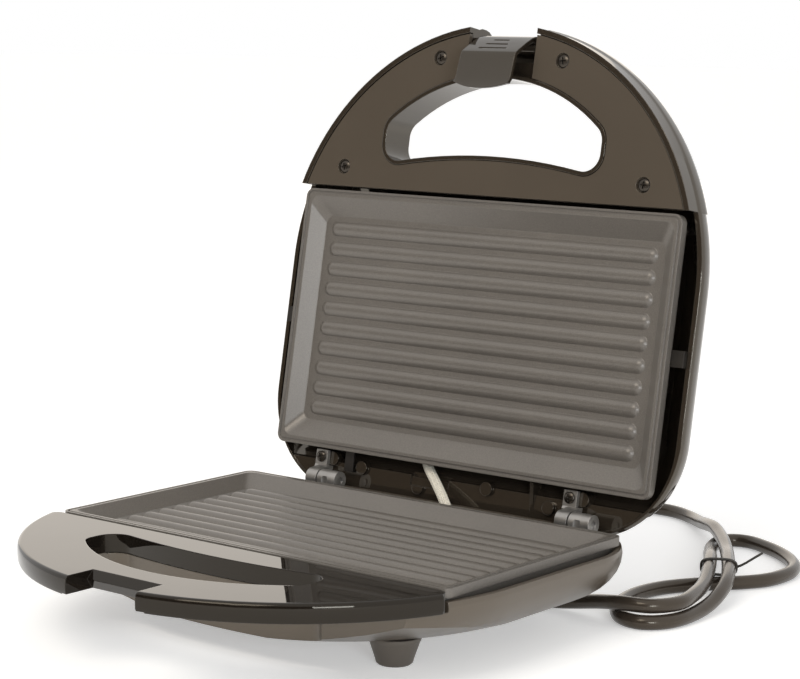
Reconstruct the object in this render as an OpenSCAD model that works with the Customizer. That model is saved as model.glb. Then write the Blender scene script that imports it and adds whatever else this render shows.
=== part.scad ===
// Sandwich toaster: a two-plate contact grill with a hinged lid, a clip latch and a mains lead.
// The lid is drawn open. X runs along the hinge, -Y is the front, Z = 0 is the worktop.

/* [Plates] */
// Width of each cooking plate
plate_w = 230; // [200:1:250]
// Depth of each cooking plate, front to back
plate_d = 134.5; // [125:0.5:150]
// Corner radius of a plate
plate_corner_r = 4.5; // [3:0.5:8]
// Height of a plate's outer edge
plate_edge_h = 4.3; // [3:0.1:5]
// Depth of the pan below its rim
pan_depth = 6.5; // [5:0.1:8]
// Thickness of the die-cast metal
plate_t = 2.3; // [1.8:0.1:3]
// Width of the flat rim
rim_w = 3.6; // [3:0.1:6]
// Width of the sloping wall at the two sides
slope_side = 7.2; // [4:0.1:10]
// Width of the sloping wall at the front and the back
slope_front = 9.7; // [5:0.1:12]
// Number of ribs on each plate
rib_n = 10; // [4:1:10]
// Width of a rib
rib_w = 7.9; // [5:0.1:9]
// Distance from one rib to the next
rib_pitch = 10.48; // [9.5:0.01:11]
// Height of a rib above the floor of the pan
rib_h = 2; // [1:0.1:3]
// Flat floor left between the ribs' ends and the sloping wall
rib_margin = 4; // [2:0.5:12]
// Gap between the two rims when the lid is shut
plate_gap = 1.1; // [0.8:0.1:3]

/* [Housings] */
// Wall thickness of the moulded housings
wall = 2.5; // [2:0.1:3]
// Air gap between a plate's side and the housing wall
side_gap = 7; // [5:0.5:12]
// Height of the belly below its widest line
belly_h = 24; // [22:0.5:28]
// Height of the lid's dome above its widest line
dome_h = 20; // [18:0.5:28]
// Height of the lid's widest line above the lower plate's rim
dome_z = 10.5; // [10:0.5:14]
// Height of the lid's side rim above the lower plate's rim
lid_rim_z = 8.3; // [8.3:0.1:9.5]
// Depth of the base's side rim below the lower plate's rim
base_rim_drop = 5; // [4.5:0.1:6]
// Radius of the lid's rear corners in plan
lid_rear_r = 50; // [40:1:50]
// Radius of the base's rear corners in plan
base_rear_r = 50; // [47:1:52]
// Radius of the belly's round front where it meets the floor
belly_front_r = 92; // [86:1:94]
// Distance of the back wall behind the plates
back_y = 22; // [20:0.1:24]
// Distance from the plate to the back of the base
base_back_y = 24.2; // [23:0.1:26]
// Height of a foot
foot_h = 12.2; // [11:0.1:20]
// Diameter of a foot at its top
foot_d = 23.5; // [18:0.5:24]
// Diameter of a foot where it stands
foot_tip_d = 17; // [12:0.5:18]

/* [Grip] */
// Depth of the gripping band, from its front to the finger opening
grip_w = 24.5; // [20:0.5:28]
// Width of the bridge between the plates and the finger opening
bridge_w = 19.5; // [18:0.5:24]
// Extra depth of the base's gripping band
base_grip_extra = 5; // [3:0.5:6]
// Half-width of the finger opening in the lid
finger_half = 68.2; // [50:0.2:74]
// How much narrower the base's finger opening is at each end
base_finger_in = 3.2; // [2:0.2:8]
// Radius of the finger opening's rear edge
finger_back_r = 319; // [280:1:400]
// Corner radius of the finger opening
finger_corner_r = 11.5; // [8:0.5:12]
// Thickness of the lid's grip
lid_grip_h = 20; // [19:0.5:24]
// Thickness of the base's grip cover
base_grip_h = 8.6; // [8:0.1:9.5]
// Width of the rim round the lid's finger opening
rim_t = 2.4; // [1.8:0.1:3]
// Width of the lip around the lid's grip panel
lip_w = 2.8; // [2.5:0.1:4]
// Thickness of the lid's grip panel
panel_t = 2.4; // [2:0.1:3]

/* [Hinges] */
// Distance of the hinge pin behind the plates
hinge_y = 15.5; // [15.3:0.1:15.9]
// Depth of the hinge pin below the lower plate's rim
hinge_drop = 1.75; // [1.5:0.05:2]
// Distance of each hinge from the plate's side
hinge_in = 37.2; // [34:0.1:50]
// Radius of a knuckle
knuckle_r = 4.9; // [3.8:0.1:5]
// Radius of a hinge pin
hinge_pin_r = 1.9; // [1.5:0.1:2.2]
// Angle of the open lid from shut
open_angle = 100; // [95:1:100]

/* [Latch] */
// Width of the latch clip
clip_w = 33; // [24:0.5:34]
// Width of the notch in both grips
notch_w = 41; // [39:0.5:46]
// Wall of the latch clip
clip_t = 2; // [1.6:0.1:2.2]
// Radius of the latch pin
latch_pin_r = 1.5; // [1.2:0.1:1.8]

/* [Fits] */
// Radial clearance of a pin in its bore
pin_fit = 0.05; // [0.02:0.01:0.08]
// Clearance between covers and housings
seam = 0.3; // [0.2:0.05:0.5]

/* [Hidden] */
$fn = 96;

// Outline: the front is an arc about [0, arc_y] whose radius is also the half-width
shell_r = plate_w / 2 + side_gap + wall;
arc_reach = 36.5;
arc_y = arc_reach - plate_d;
grip_in_r = shell_r - grip_w;
finger_y = -plate_d - bridge_w;
belly_front = -finger_y;
notch_half = notch_w / 2;
clip_half = clip_w / 2;

// Heights in the plates' frame, in which the lower plate's rim is Z = 0
belly_z = -8;
belly_in = 41;
belly_rim_in = 2;
dome_in = 25;
bulge = 0.8;
floor_z = belly_z - belly_h;
ground_z = floor_z - foot_h;
crown_z = dome_z + dome_h;
hinge_z = -hinge_drop;
pan_bottom = pan_depth + plate_t;
plate_bottom_up = plate_gap + pan_bottom;
dome_front = plate_d + 17;
dome_front_in = 32;
dome_front_z = 14;
dome_back_in = 46;
ledge_t = 1.9;
corner_thin = 3;
ledge_y = 8;
ledge_z = lid_rim_z + 2.5;
dome_back_z = ledge_z + 2.2;
cover_top = -0.4;
cover_bottom = cover_top - base_grip_h;
panel_z = 0.4;

// Outer wall of the lid's grip, in [inset, z]
grip_prof = [
  [0, 0], [0, lid_rim_z], [-bulge * 0.7, lid_rim_z + 1.2], [-bulge, dome_z], [-bulge, lid_grip_h - 6],
  [-bulge * 0.3, lid_grip_h - 3.2], [1, lid_grip_h - 1.1], [3.6, lid_grip_h]
];

// The finished part stands on Z = 0, in the middle of its own box
dome_front_line = [for (t = [0 : 9 : 90]) [
  -dome_front + dome_front_in * (1 - cos(t)), dome_front_z + (crown_z - dome_front_z) * sin(t)]];
open_back = max([for (p = concat(dome_front_line, [for (q = grip_prof) [arc_y - shell_r + q[0], q[1]]]))
  hinge_y + (p[0] - hinge_y) * cos(open_angle) + (p[1] - hinge_z) * sin(open_angle)]);
cover_bulge = 0.9;
front_reach = arc_y - sqrt(pow(shell_r + cover_bulge, 2) - notch_half * notch_half);
centre_y = -(open_back + front_reach) / 2;

module base_frame() {
  translate([0, centre_y, -ground_z]) children();
}
module lid_frame() {
  base_frame()
    translate([0, hinge_y, hinge_z])
      rotate([-open_angle, 0, 0])
        translate([0, -hinge_y, -hinge_z]) children();
}
// Both sides of the object
module pair() {
  children();
  mirror([1, 0, 0]) children();
}
// A solid cut out along X from a profile in [y, z]
module along_x(x0, x1, profile) {
  translate([x0, 0, 0])
    rotate([90, 0, 90]) linear_extrude(height = x1 - x0) polygon(profile);
}
// Rectangle with round corners, from lower left to upper right
module round_rect(a, b, r) {
  translate([a[0] + r, a[1]]) square([b[0] - a[0] - 2 * r, b[1] - a[1]]);
  translate([a[0], a[1] + r]) square([b[0] - a[0], b[1] - a[1] - 2 * r]);
  for (x = [a[0] + r, b[0] - r], y = [a[1] + r, b[1] - r]) translate([x, y]) circle(r, $fn = 32);
}
// A moulded body: one wall profile of [inset, z] led round an outline with front and rear arcs
module swept_body(prof, rf, yf, rb, yb) {
  n = len(prof);
  half = shell_r;
  top = prof[n - 1][1];
  low = prof[0][1];
  xf = half - rf;
  xb = half - rb;
  translate([0, 0, 0]) {
    for (s = [-1, 1]) {
      if (xf > 0) {
        translate([s * xf, yf, 0]) rotate([0, 0, s < 0 ? 180 : 270]) rotate_extrude(angle = 90)
          polygon(concat([[0, low]], [for (p = prof) [rf - p[0], p[1]]], [[0, top]]));
      }
      translate([s * xb, yb, 0]) rotate([0, 0, s < 0 ? 90 : 0]) rotate_extrude(angle = 90)
        polygon(concat([[0, low]], [for (p = prof) [rb - p[0], p[1]]], [[0, top]]));
    }
    if (xf <= 0) {
      translate([0, yf, 0]) rotate([0, 0, 180]) rotate_extrude(angle = 180)
        polygon(concat([[0, low]], [for (p = prof) [rf - p[0], p[1]]], [[0, top]]));
    } else {
      along_x(-xf, xf, concat([[yf, low]], [for (p = prof) [yf - rf + p[0], p[1]]], [[yf, top]]));
    }
    along_x(-xb, xb, concat([[yb, low]], [for (p = prof) [yb + rb - p[0], p[1]]], [[yb, top]]));
    translate([0, yb, 0]) rotate([90, 0, 0]) linear_extrude(height = yb - yf)
      polygon(concat([for (p = prof) [half - p[0], p[1]]],
        [for (i = [n - 1 : -1 : 0]) [p_left(prof[i], half), prof[i][1]]]));
  }
}
function p_left(p, half) = p[0] - half;

// Finger opening of a grip, let out by c, with its front edge on an arc of radius edge
module finger_opening(c, half, edge, corner_r) {
  r = corner_r + c;
  ri = edge + c;
  ro = finger_back_r - c;
  yb = finger_y + finger_back_r;
  cx = half - corner_r;
  df = sqrt(pow(edge - corner_r, 2) - cx * cx);
  cf = [cx, arc_y - df];
  db = sqrt(pow(finger_back_r + corner_r, 2) - cx * cx);
  cb = [cx, yb - db];
  uf = [cx, -df] / norm([cx, -df]);
  ub = [-cx, db] / norm([cx, db]);
  difference() {
    intersection() {
      translate([0, arc_y]) circle(ri, $fn = 180);
      translate([-cx - r, arc_y - 2 * ri]) square([2 * (cx + r), 2 * ri + finger_y - arc_y + 30]);
    }
    translate([0, yb]) circle(ro, $fn = 360);
    for (s = [-1, 1]) scale([s, 1]) {
      difference() {
        polygon([cf, cf + 2.2 * r * uf, cf + [2.2 * r, -2.2 * r], cf + [2.2 * r, 0]]);
        translate(cf) circle(r, $fn = 48);
      }
      difference() {
        polygon([cb, cb + [2.2 * r, 0], cb + [2.2 * r, 2.2 * r], cb + 2.2 * r * ub]);
        translate(cb) circle(r, $fn = 48);
      }
    }
  }
}
module lid_opening(c) {
  finger_opening(c, finger_half, grip_in_r, finger_corner_r);
}
module base_opening(c) {
  finger_opening(c, finger_half - base_finger_in, grip_in_r - base_grip_extra, finger_corner_r - 2);
}
// D-shaped plan of a grip, in front of the line y = -front, drawn in by c
module grip_plan(c, front) {
  intersection() {
    translate([0, arc_y]) circle(shell_r - c, $fn = 240);
    translate([-shell_r, arc_y - shell_r - 1]) square([2 * shell_r, shell_r + 1 - arc_y - front]);
  }
}

// ---- Cooking plates: a die-cast pan that opens upwards, with its rim at Z = 0 ----
grid = (rib_n - 1) * rib_pitch;
rib_r = (rib_w * rib_w / 4 + rib_h * rib_h) / (2 * rib_h);
rib_len = plate_w - 2 * (rim_w + slope_side + rib_margin);
plate_post_h = 5;
plate_post_x = plate_w / 2 - 27;
plate_post_y = [-22, 22];
module rib() {
  reach = rib_len / 2 - rib_w / 2;
  for (s = [-1, 1]) translate([s * reach, 0, 0]) sphere(rib_r, $fn = 48);
  rotate([0, 90, 0]) cylinder(h = 2 * reach, r = rib_r, center = true, $fn = 48);
}
module pan_slab(inset_x, inset_y, z) {
  translate([0, 0, z]) linear_extrude(height = 0.01)
    round_rect([-plate_w / 2 + inset_x, -plate_d + inset_y], [plate_w / 2 - inset_x, -inset_y],
      plate_corner_r);
}
skirt_in = 2.4;
module plate() {
  difference() {
    union() {
      translate([0, 0, -plate_edge_h]) linear_extrude(height = plate_edge_h)
        round_rect([-plate_w / 2, -plate_d], [plate_w / 2, 0], plate_corner_r);
      translate([0, 0, -pan_bottom]) linear_extrude(height = pan_bottom - 1)
        round_rect([-plate_w / 2 + skirt_in, -plate_d + skirt_in],
          [plate_w / 2 - skirt_in, -skirt_in], plate_corner_r);
    }
    // Pan with sloping walls
    hull() {
      pan_slab(rim_w, rim_w, 0.2);
      pan_slab(rim_w + slope_side, rim_w + slope_front, -pan_depth);
    }
    // Groove along the rim
    translate([0, 0, -0.5]) linear_extrude(height = 1) difference() {
      round_rect([-plate_w / 2 + 1.2, -plate_d + 1.2], [plate_w / 2 - 1.2, -1.2], plate_corner_r - 1.2);
      round_rect([-plate_w / 2 + 2.2, -plate_d + 2.2], [plate_w / 2 - 2.2, -2.2], plate_corner_r - 2.2);
    }
  }
  intersection() {
    translate([-plate_w / 2 + 8, -plate_d + 8, -pan_bottom + 0.5])
      cube([plate_w - 16, plate_d - 16, pan_bottom]);
    for (i = [0 : rib_n - 1])
      translate([0, -plate_d / 2 - grid / 2 + i * rib_pitch, -pan_depth + rib_h - rib_r]) rib();
  }
  // Posts that take the fixing screws
  for (x = [-plate_post_x, plate_post_x], y = plate_post_y)
    translate([x, -plate_d / 2 + y, -pan_bottom - plate_post_h])
      difference() {
        cylinder(h = plate_post_h + 0.5, r = 4);
        translate([0, 0, -1]) cylinder(h = plate_post_h, r = 1.4);
      }
}
module flip_up() {
  translate([0, 0, plate_gap]) mirror([0, 0, 1]) children();
}
module lower_plate() {
  color("#5b5651") base_frame() plate();
}
module upper_plate() {
  color("#5b5651") lid_frame() flip_up() plate();
}

// ---- Heating element, reflector and small parts under a plate, in the plate's own frame ----
heater_r = 3.2;
heater_span = 33;
heater_x = plate_post_x - 38;
module heater() {
  z = -pan_bottom - heater_r - 0.05;
  for (y = [-heater_span, heater_span])
    translate([-heater_x, -plate_d / 2 + y, z]) rotate([0, 90, 0])
      cylinder(h = 2 * heater_x, r = heater_r, $fn = 32);
  translate([-heater_x, -plate_d / 2, z]) rotate([0, 0, 90]) rotate_extrude(angle = 180, $fn = 72)
    translate([heater_span, 0]) circle(heater_r, $fn = 32);
  // Ceramic ends with their tabs
  for (y = [-heater_span, heater_span])
    translate([heater_x, -plate_d / 2 + y, z]) {
      rotate([0, 90, 0]) cylinder(h = 8, r = 2.4, $fn = 24);
      translate([7, -3, -0.4]) cube([7, 6, 0.8]);
    }
}
reflector_z = -pan_bottom - 2 * heater_r - 1.6;
module reflector() {
  t = 0.6;
  w = plate_w - 34;
  d = plate_d - 26.5;
  difference() {
    translate([-w / 2, -plate_d / 2 - d / 2, reflector_z - t]) cube([w, d, 6]);
    translate([-w / 2 + t, -plate_d / 2 - d / 2 + t, reflector_z]) cube([w - 2 * t, d - 2 * t, 7]);
    for (x = [-plate_post_x, plate_post_x], y = plate_post_y)
      translate([x, -plate_d / 2 + y, reflector_z - 2]) cylinder(h = 4, r = 5);
    translate([0, -plate_d / 2, reflector_z - 2]) cylinder(h = 4, r = 12);
  }
}
// Sheet-metal clips that hold a plate at the middle of its two sides
clip_z = -plate_edge_h - 0.1;
module side_clip(inner) {
  t = 1.2;
  w = 8;
  x0 = plate_w / 2 - skirt_in + seam;
  translate([x0, -plate_d / 2 - w / 2, clip_z - t]) cube([inner - x0 - 0.1, w, t]);
  translate([inner - t - 0.1, -plate_d / 2 - w / 2, clip_z - 9]) cube([t, w, 9]);
}
// The clip at the plate's rear edge, beside the left hinge
module rear_clip() {
  translate([hinge_at[0] + 8, -2.1, clip_z - 1.2]) cube([5.5, 12.6, 1.2]);
  translate([hinge_at[0] + 8, 9.3, plate_gap - ledge_z + ledge_t + 0.1]) cube([5.5, 1.2, ledge_z - ledge_t + clip_z - plate_gap - 0.2]);
}

// ---- Base ----
belly = concat([[belly_rim_in + 0.5, -base_rim_drop], [belly_rim_in + 0.1, belly_z + 1.2]],
  [for (t = [0 : 9 : 90]) [belly_rim_in + belly_in * (1 - cos(t)), belly_z - belly_h * sin(t)]]);
function reversed(v) = [for (i = [len(v) - 1 : -1 : 0]) v[i]];
base_rear_y = base_back_y - base_rear_r;
belly_cut_y = 68.5 - plate_d;
// Round front of the belly: [growth of the radius, height above the floor]
belly_round = [[0, 0], [7, 2], [18, 6], [33, 12], [60, 24], [70, 40]];
module belly_solid(c) {
  low = c * wall;
  prof = reversed([for (p = belly) [p[0] + c * wall, max(p[1], floor_z + low)]]);
  intersection() {
    swept_body(prof, shell_r, arc_y, base_rear_r, base_rear_y);
    translate([0, belly_cut_y, floor_z]) {
      rotate([0, 0, 180]) rotate_extrude(angle = 180, $fn = 180)
        polygon(concat([[0, low]], [for (p = belly_round) [belly_front_r + p[0] - c * wall, p[1] + low]],
          [[0, belly_round[len(belly_round) - 1][1] + low]]));
      translate([-shell_r - 5, 0, low]) cube([2 * shell_r + 10, 2 * plate_d, 40]);
    }
    translate([0, 0, floor_z - 1]) linear_extrude(height = 60) difference() {
      translate([-shell_r, -belly_front + low]) square([2 * shell_r, belly_front + 100]);
      base_opening(low);
    }
  }
}
base_post_x = plate_post_x;
hinge_x = plate_w / 2 - hinge_in;
hinge_at = [-hinge_x - 1.2, hinge_x - 1.2];
screw_r = 1.25;
foot_front = [71, -113];
foot_rear = [62, -6];
tray_gap = wall + seam;
module lower_housing() {
  color("#26221f") base_frame() {
    difference() {
      union() {
        difference() {
          belly_solid(0);
          belly_solid(1);
          // The grip's cover stands on the belly's front wall
          translate([-shell_r - 1, -shell_r * 2, cover_bottom - seam])
            cube([2 * shell_r + 2, shell_r * 2 - plate_d - 0.8, 20]);
        }
        // Floor of the grip
        translate([0, 0, cover_bottom - 0.9]) linear_extrude(height = 2.5) difference() {
          grip_plan(tray_gap, plate_d + 1.1 + tray_gap);
          base_opening(tray_gap);
        }
        // Posts under the plate, the hinges and the feet
        intersection() {
          union() {
            for (x = [-base_post_x, base_post_x], y = plate_post_y)
              translate([x, -plate_d / 2 + y, floor_z + 1])
                cylinder(h = -floor_z - pan_bottom - plate_post_h - 1.1, r = 4.5, $fn = 32);
            for (x = hinge_at) translate([x + 5.5, 9, floor_z + 1])
              cylinder(h = -15.1 - floor_z, r = 4, $fn = 32);
          }
          belly_solid(0);
        }
        for (s = [-1, 1], p = [foot_front, foot_rear])
          translate([s * p[0], p[1], floor_z + 1]) cylinder(h = 7, r = foot_d / 2 - 1, $fn = 48);
      }
      for (s = [-1, 1], p = [foot_front, foot_rear])
        translate([s * p[0], p[1], floor_z - 2]) cylinder(h = 2.5, r = foot_d / 2 + 0.1, $fn = 48);
      // Screw holes
      for (x = [-base_post_x, base_post_x], y = plate_post_y)
        translate([x, -plate_d / 2 + y, floor_z - 1]) {
          cylinder(h = belly_h + 20, r = 1.8, $fn = 24);
          cylinder(h = 8, r = 3.6, $fn = 24);
        }
      for (x = hinge_at) {
        translate([x + 5.5, 9, -26]) cylinder(h = 14, r = screw_r, $fn = 24);
        translate([x - lid_knuckle_w - 1.4, hinge_y, hinge_z]) rotate([0, 90, 0])
          cylinder(h = lid_knuckle_w + base_knuckle_w + 2.4, r = knuckle_r + 0.4, $fn = 64);
      }
      // Room for the latch under the grip
      translate([-notch_half - 4, -shell_r * 2, cover_bottom - 3])
        cube([2 * notch_half + 8, shell_r * 2 + finger_y - 12, 12]);
    }
  }
}
// The hook edge of the base's grip, in [y, z] from the front arc
hook_y = arc_y - shell_r + 17.2;
hook = [
  [hook_y - 30, 2], [hook_y, 2], [hook_y, cover_top], [hook_y - 3.7, cover_top - 3.6],
  [hook_y - 0.35, cover_bottom + 0.5], [hook_y - 0.35, cover_bottom - 2], [hook_y - 30, cover_bottom - 2]
];
cover_x = sqrt(shell_r * shell_r - pow(arc_reach + 5.7, 2));
// Outer edge of the base's grip, in [growth of the radius, z]
cover_round = 2;
cover_prof = concat([[0.2, cover_bottom], [cover_bulge - 0.1, cover_bottom + 1.6], [cover_bulge, cover_top - cover_round - 1.6]],
  [for (t = [0 : 18 : 90]) [cover_bulge - 0.2 - cover_round * (1 - cos(t)), cover_top - cover_round * (1 - sin(t))]]);
module lower_handle_cover() {
  color("#2b2825") base_frame() difference() {
    union() {
      difference() {
        intersection() {
          translate([0, arc_y, 0]) rotate([0, 0, 180]) rotate_extrude(angle = 180, $fn = 240)
            polygon(concat([[0, cover_bottom]], [for (p = cover_prof) [shell_r + p[0], p[1]]], [[0, cover_top]]));
          translate([-shell_r * 2, -shell_r * 3, cover_bottom - 1])
            cube([shell_r * 4, shell_r * 3 - plate_d - 1.1, base_grip_h + 2]);
        }
        translate([0, 0, cover_bottom - 1]) linear_extrude(height = base_grip_h + 2) base_opening(0);
        translate([0, 0, cover_bottom - 1]) linear_extrude(height = base_grip_h - wall + 1) difference() {
          grip_plan(wall, plate_d + 1.1 + wall);
          base_opening(wall);
          translate([-notch_half - 3, -shell_r * 3]) square([2 * notch_half + 6, shell_r * 3 + finger_y - 12]);
        }
      }
    }
    along_x(-notch_half, notch_half, hook);
    pair() translate([0, -plate_d - 1.1, cover_bottom - 1]) linear_extrude(height = 12)
      polygon([[cover_x - 4, 1], [cover_x - 4, 0], [cover_x - 2, -0.7], [cover_x - 0.6, -2.4],
        [cover_x - 0.2, -4.6], [cover_x + 9, -4.6], [cover_x + 9, 1]]);
    translate([-notch_half - 4, -shell_r * 2, cover_bottom - 1])
      cube([2 * notch_half + 8, shell_r * 2 + finger_y - 12, 1.5]);
  }
}
module lower_heater() {
  color("#6b6661") base_frame() heater();
}
module lower_reflector() {
  color("silver") base_frame() reflector();
}
module thermostat() {
  color("#3a2d22") base_frame() translate([0, -plate_d / 2, -pan_bottom - 0.1]) {
    mirror([0, 0, 1]) cylinder(h = 9, r = 8.5);
    for (s = [-1, 1]) translate([s * 6 - 1.6, -3, -15]) cube([3.2, 0.8, 6.5]);
    translate([-12, -2.5, -2.4]) cube([24, 5, 0.8]);
  }
}
module terminal_block() {
  color("#d8d2c4") base_frame() translate([12, -34, floor_z + wall + 0.05]) difference() {
    cube([32, 15, 9]);
    for (i = [0 : 2]) translate([5.5 + i * 10.5, -1, 5]) rotate([-90, 0, 0])
      cylinder(h = 17, r = 2, $fn = 24);
  }
}
module foot() {
  r1 = foot_d / 2;
  r2 = foot_tip_d / 2;
  rotate_extrude() polygon([
    [0, floor_z + 0.5], [r1, floor_z + 0.5], [r1, floor_z - 1], [r1 - 0.6, floor_z - 2.2],
    [r2 + 0.1, ground_z + 2.4], [r2 - 0.3, ground_z + 0.8], [r2 - 1.2, ground_z], [0, ground_z]
  ]);
}
module foot_front_left() {
  color("#3c3936") base_frame() translate([-foot_front[0], foot_front[1], 0]) foot();
}
module foot_front_right() {
  color("#3c3936") base_frame() translate([foot_front[0], foot_front[1], 0]) foot();
}
module foot_rear_left() {
  color("#3c3936") base_frame() translate([-foot_rear[0], foot_rear[1], 0]) foot();
}
module foot_rear_right() {
  color("#3c3936") base_frame() translate([foot_rear[0], foot_rear[1], 0]) foot();
}
// Pan-head screw with a cross recess, its head's underside at Z = 0 and its thread along -Z
module screw(length, head_r) {
  difference() {
    union() {
      mirror([0, 0, 1]) cylinder(h = length, r = 1.2, $fn = 24);
      cylinder(h = 1.6, r = head_r, $fn = 32);
    }
    for (a = [0, 90]) rotate([0, 0, a]) translate([-head_r * 0.62, -0.35, 0.7]) cube([head_r * 1.24, 0.7, 2]);
  }
}
module base_screws() {
  color("silver") base_frame()
    for (x = [-base_post_x, base_post_x], y = plate_post_y)
      translate([x, -plate_d / 2 + y, floor_z + 7]) mirror([0, 0, 1]) screw(-floor_z - 7 - pan_bottom - 1.5, 3.2);
}

// ---- Hinges ----
lid_knuckle_w = 6.8;
base_knuckle_w = 11.6;
leaf_x = -10.6;
tab_w = 7.6;
module knuckle(x0, w) {
  translate([x0, hinge_y, hinge_z]) rotate([0, 90, 0]) difference() {
    cylinder(h = w, r = knuckle_r, $fn = 64);
    translate([0, 0, -1]) cylinder(h = w + 2, r = hinge_pin_r + pin_fit, $fn = 64);
  }
}
module pin_hole(x0) {
  translate([x0 - 5, hinge_y, hinge_z]) rotate([0, 90, 0])
    cylinder(h = base_knuckle_w + 10, r = hinge_pin_r + pin_fit, $fn = 64);
}
module hinge_leaf_base(x) {
  x0 = x + 0.4;
  base_frame() difference() {
    union() {
      knuckle(x0, base_knuckle_w);
      along_x(x0, x0 + base_knuckle_w, [
        [hinge_y - knuckle_r, hinge_z], [hinge_y, hinge_z], [hinge_y, hinge_z - knuckle_r + 0.5],
        [hinge_y - 1.2, -14], [3.5, -14], [3.5, -11.6], [hinge_y - knuckle_r, -11.6]
      ]);
    }
    pin_hole(x0);
    translate([x + 5.5, 9, -20]) cylinder(h = 16, r = 1.6, $fn = 32);
    translate([x + 5.5, 9, -11.5]) cylinder(h = 12, r = 2.6, $fn = 32);
  }
}
module hinge_leaf_lid(x) {
  x0 = x + leaf_x;
  x1 = x - 0.4 - lid_knuckle_w;
  tab_z = 4.3;
  lid_frame() difference() {
    union() {
      knuckle(x1, lid_knuckle_w);
      along_x(x0, x0 + tab_w, [[1.2, tab_z], [1.2, tab_z + 2.4], [10.4, tab_z + 2.4], [10.4, tab_z - 0.6], [9, tab_z]]);
      along_x(x1, x1 + lid_knuckle_w, [
        [9, tab_z], [9, tab_z + 2.4], [10.4, tab_z + 2.4], [hinge_y + 3, 1.6], [hinge_y, hinge_z],
        [hinge_y - knuckle_r, hinge_z], [hinge_y - knuckle_r - 1, 1.4]
      ]);
    }
    pin_hole(x1);
    translate([x0 + 3.7, 4.8, tab_z - 1]) cylinder(h = 5, r = 1.5, $fn = 32);
  }
}
module hinge_leaf_base_left() {
  color("#6d6b69") hinge_leaf_base(hinge_at[0]);
}
module hinge_leaf_base_right() {
  color("#6d6b69") hinge_leaf_base(hinge_at[1]);
}
module hinge_leaf_lid_left() {
  color("#6d6b69") hinge_leaf_lid(hinge_at[0]);
}
module hinge_leaf_lid_right() {
  color("#6d6b69") hinge_leaf_lid(hinge_at[1]);
}
module hinge_pin(x) {
  base_frame() translate([x - 0.2 - lid_knuckle_w, hinge_y, hinge_z]) rotate([0, 90, 0])
    cylinder(h = lid_knuckle_w + base_knuckle_w + 0.2, r = hinge_pin_r, $fn = 64);
}
module hinge_pin_left() {
  color("#8c8a87") hinge_pin(hinge_at[0]);
}
module hinge_pin_right() {
  color("#8c8a87") hinge_pin(hinge_at[1]);
}
module hinge_screws_base() {
  color("silver") base_frame()
    for (x = hinge_at) translate([x + 5.5, 9, -11.5]) screw(10, 2.5);
}
module hinge_screws_lid() {
  color("silver") lid_frame()
    for (x = hinge_at) translate([x + leaf_x + 3.7, 4.8, 4.2]) mirror([0, 0, 1]) screw(8, 2.9);
}

// ---- Lid ----
lid_prof = concat([[0, lid_rim_z], [-bulge * 0.7, lid_rim_z + 1.2], [-bulge, dome_z]],
  [for (t = [9 : 9 : 90]) [-bulge + dome_in * (1 - cos(t)), dome_z + dome_h * sin(t)]]);
module dome_cut(c) {
  along_x(-shell_r - 5, shell_r + 5, concat(
    [[-dome_front + c * wall, -5]],
    [for (p = dome_front_line) [p[0] + c * wall, p[1] - (p[1] > dome_front_z + 0.9 * (crown_z - dome_front_z) ? c * wall : 0)]],
    [for (t = [1 : -0.125 : 0]) [ledge_y - dome_back_in * t - c * ledge_t,
      dome_back_z - c * ledge_t + (crown_z - dome_back_z - c * (wall - ledge_t)) * (1 - pow(1 - t, 2))]],
    [[ledge_y + 0.6 - c * ledge_t, ledge_z - c * ledge_t], [back_y + 10, ledge_z - 0.3 - c * ledge_t],
      [back_y + 10, -5]]));
}
module dome_solid(c) {
  prof = [for (p = lid_prof) [p[0] + c * wall, p[1] - (p[1] > dome_z + dome_h * 0.9 ? c * wall : 0)]];
  low = [[prof[0][0], lid_rim_z - c]];
  intersection() {
    swept_body(concat(low, c > 0 ? prof : [for (i = [1 : len(prof) - 1]) prof[i]]), shell_r, arc_y,
      lid_rear_r - c * corner_thin, back_y - lid_rear_r + c * corner_thin);
    dome_cut(c);
  }
}
panel_screws_at = [[37.2, arc_y - shell_r + 17.6], [91.5, -plate_d - 12.4]];
latch_y = arc_y - shell_r + 10.7;
latch_z = 8;
recess_top = latch_z + 6.5;
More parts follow.
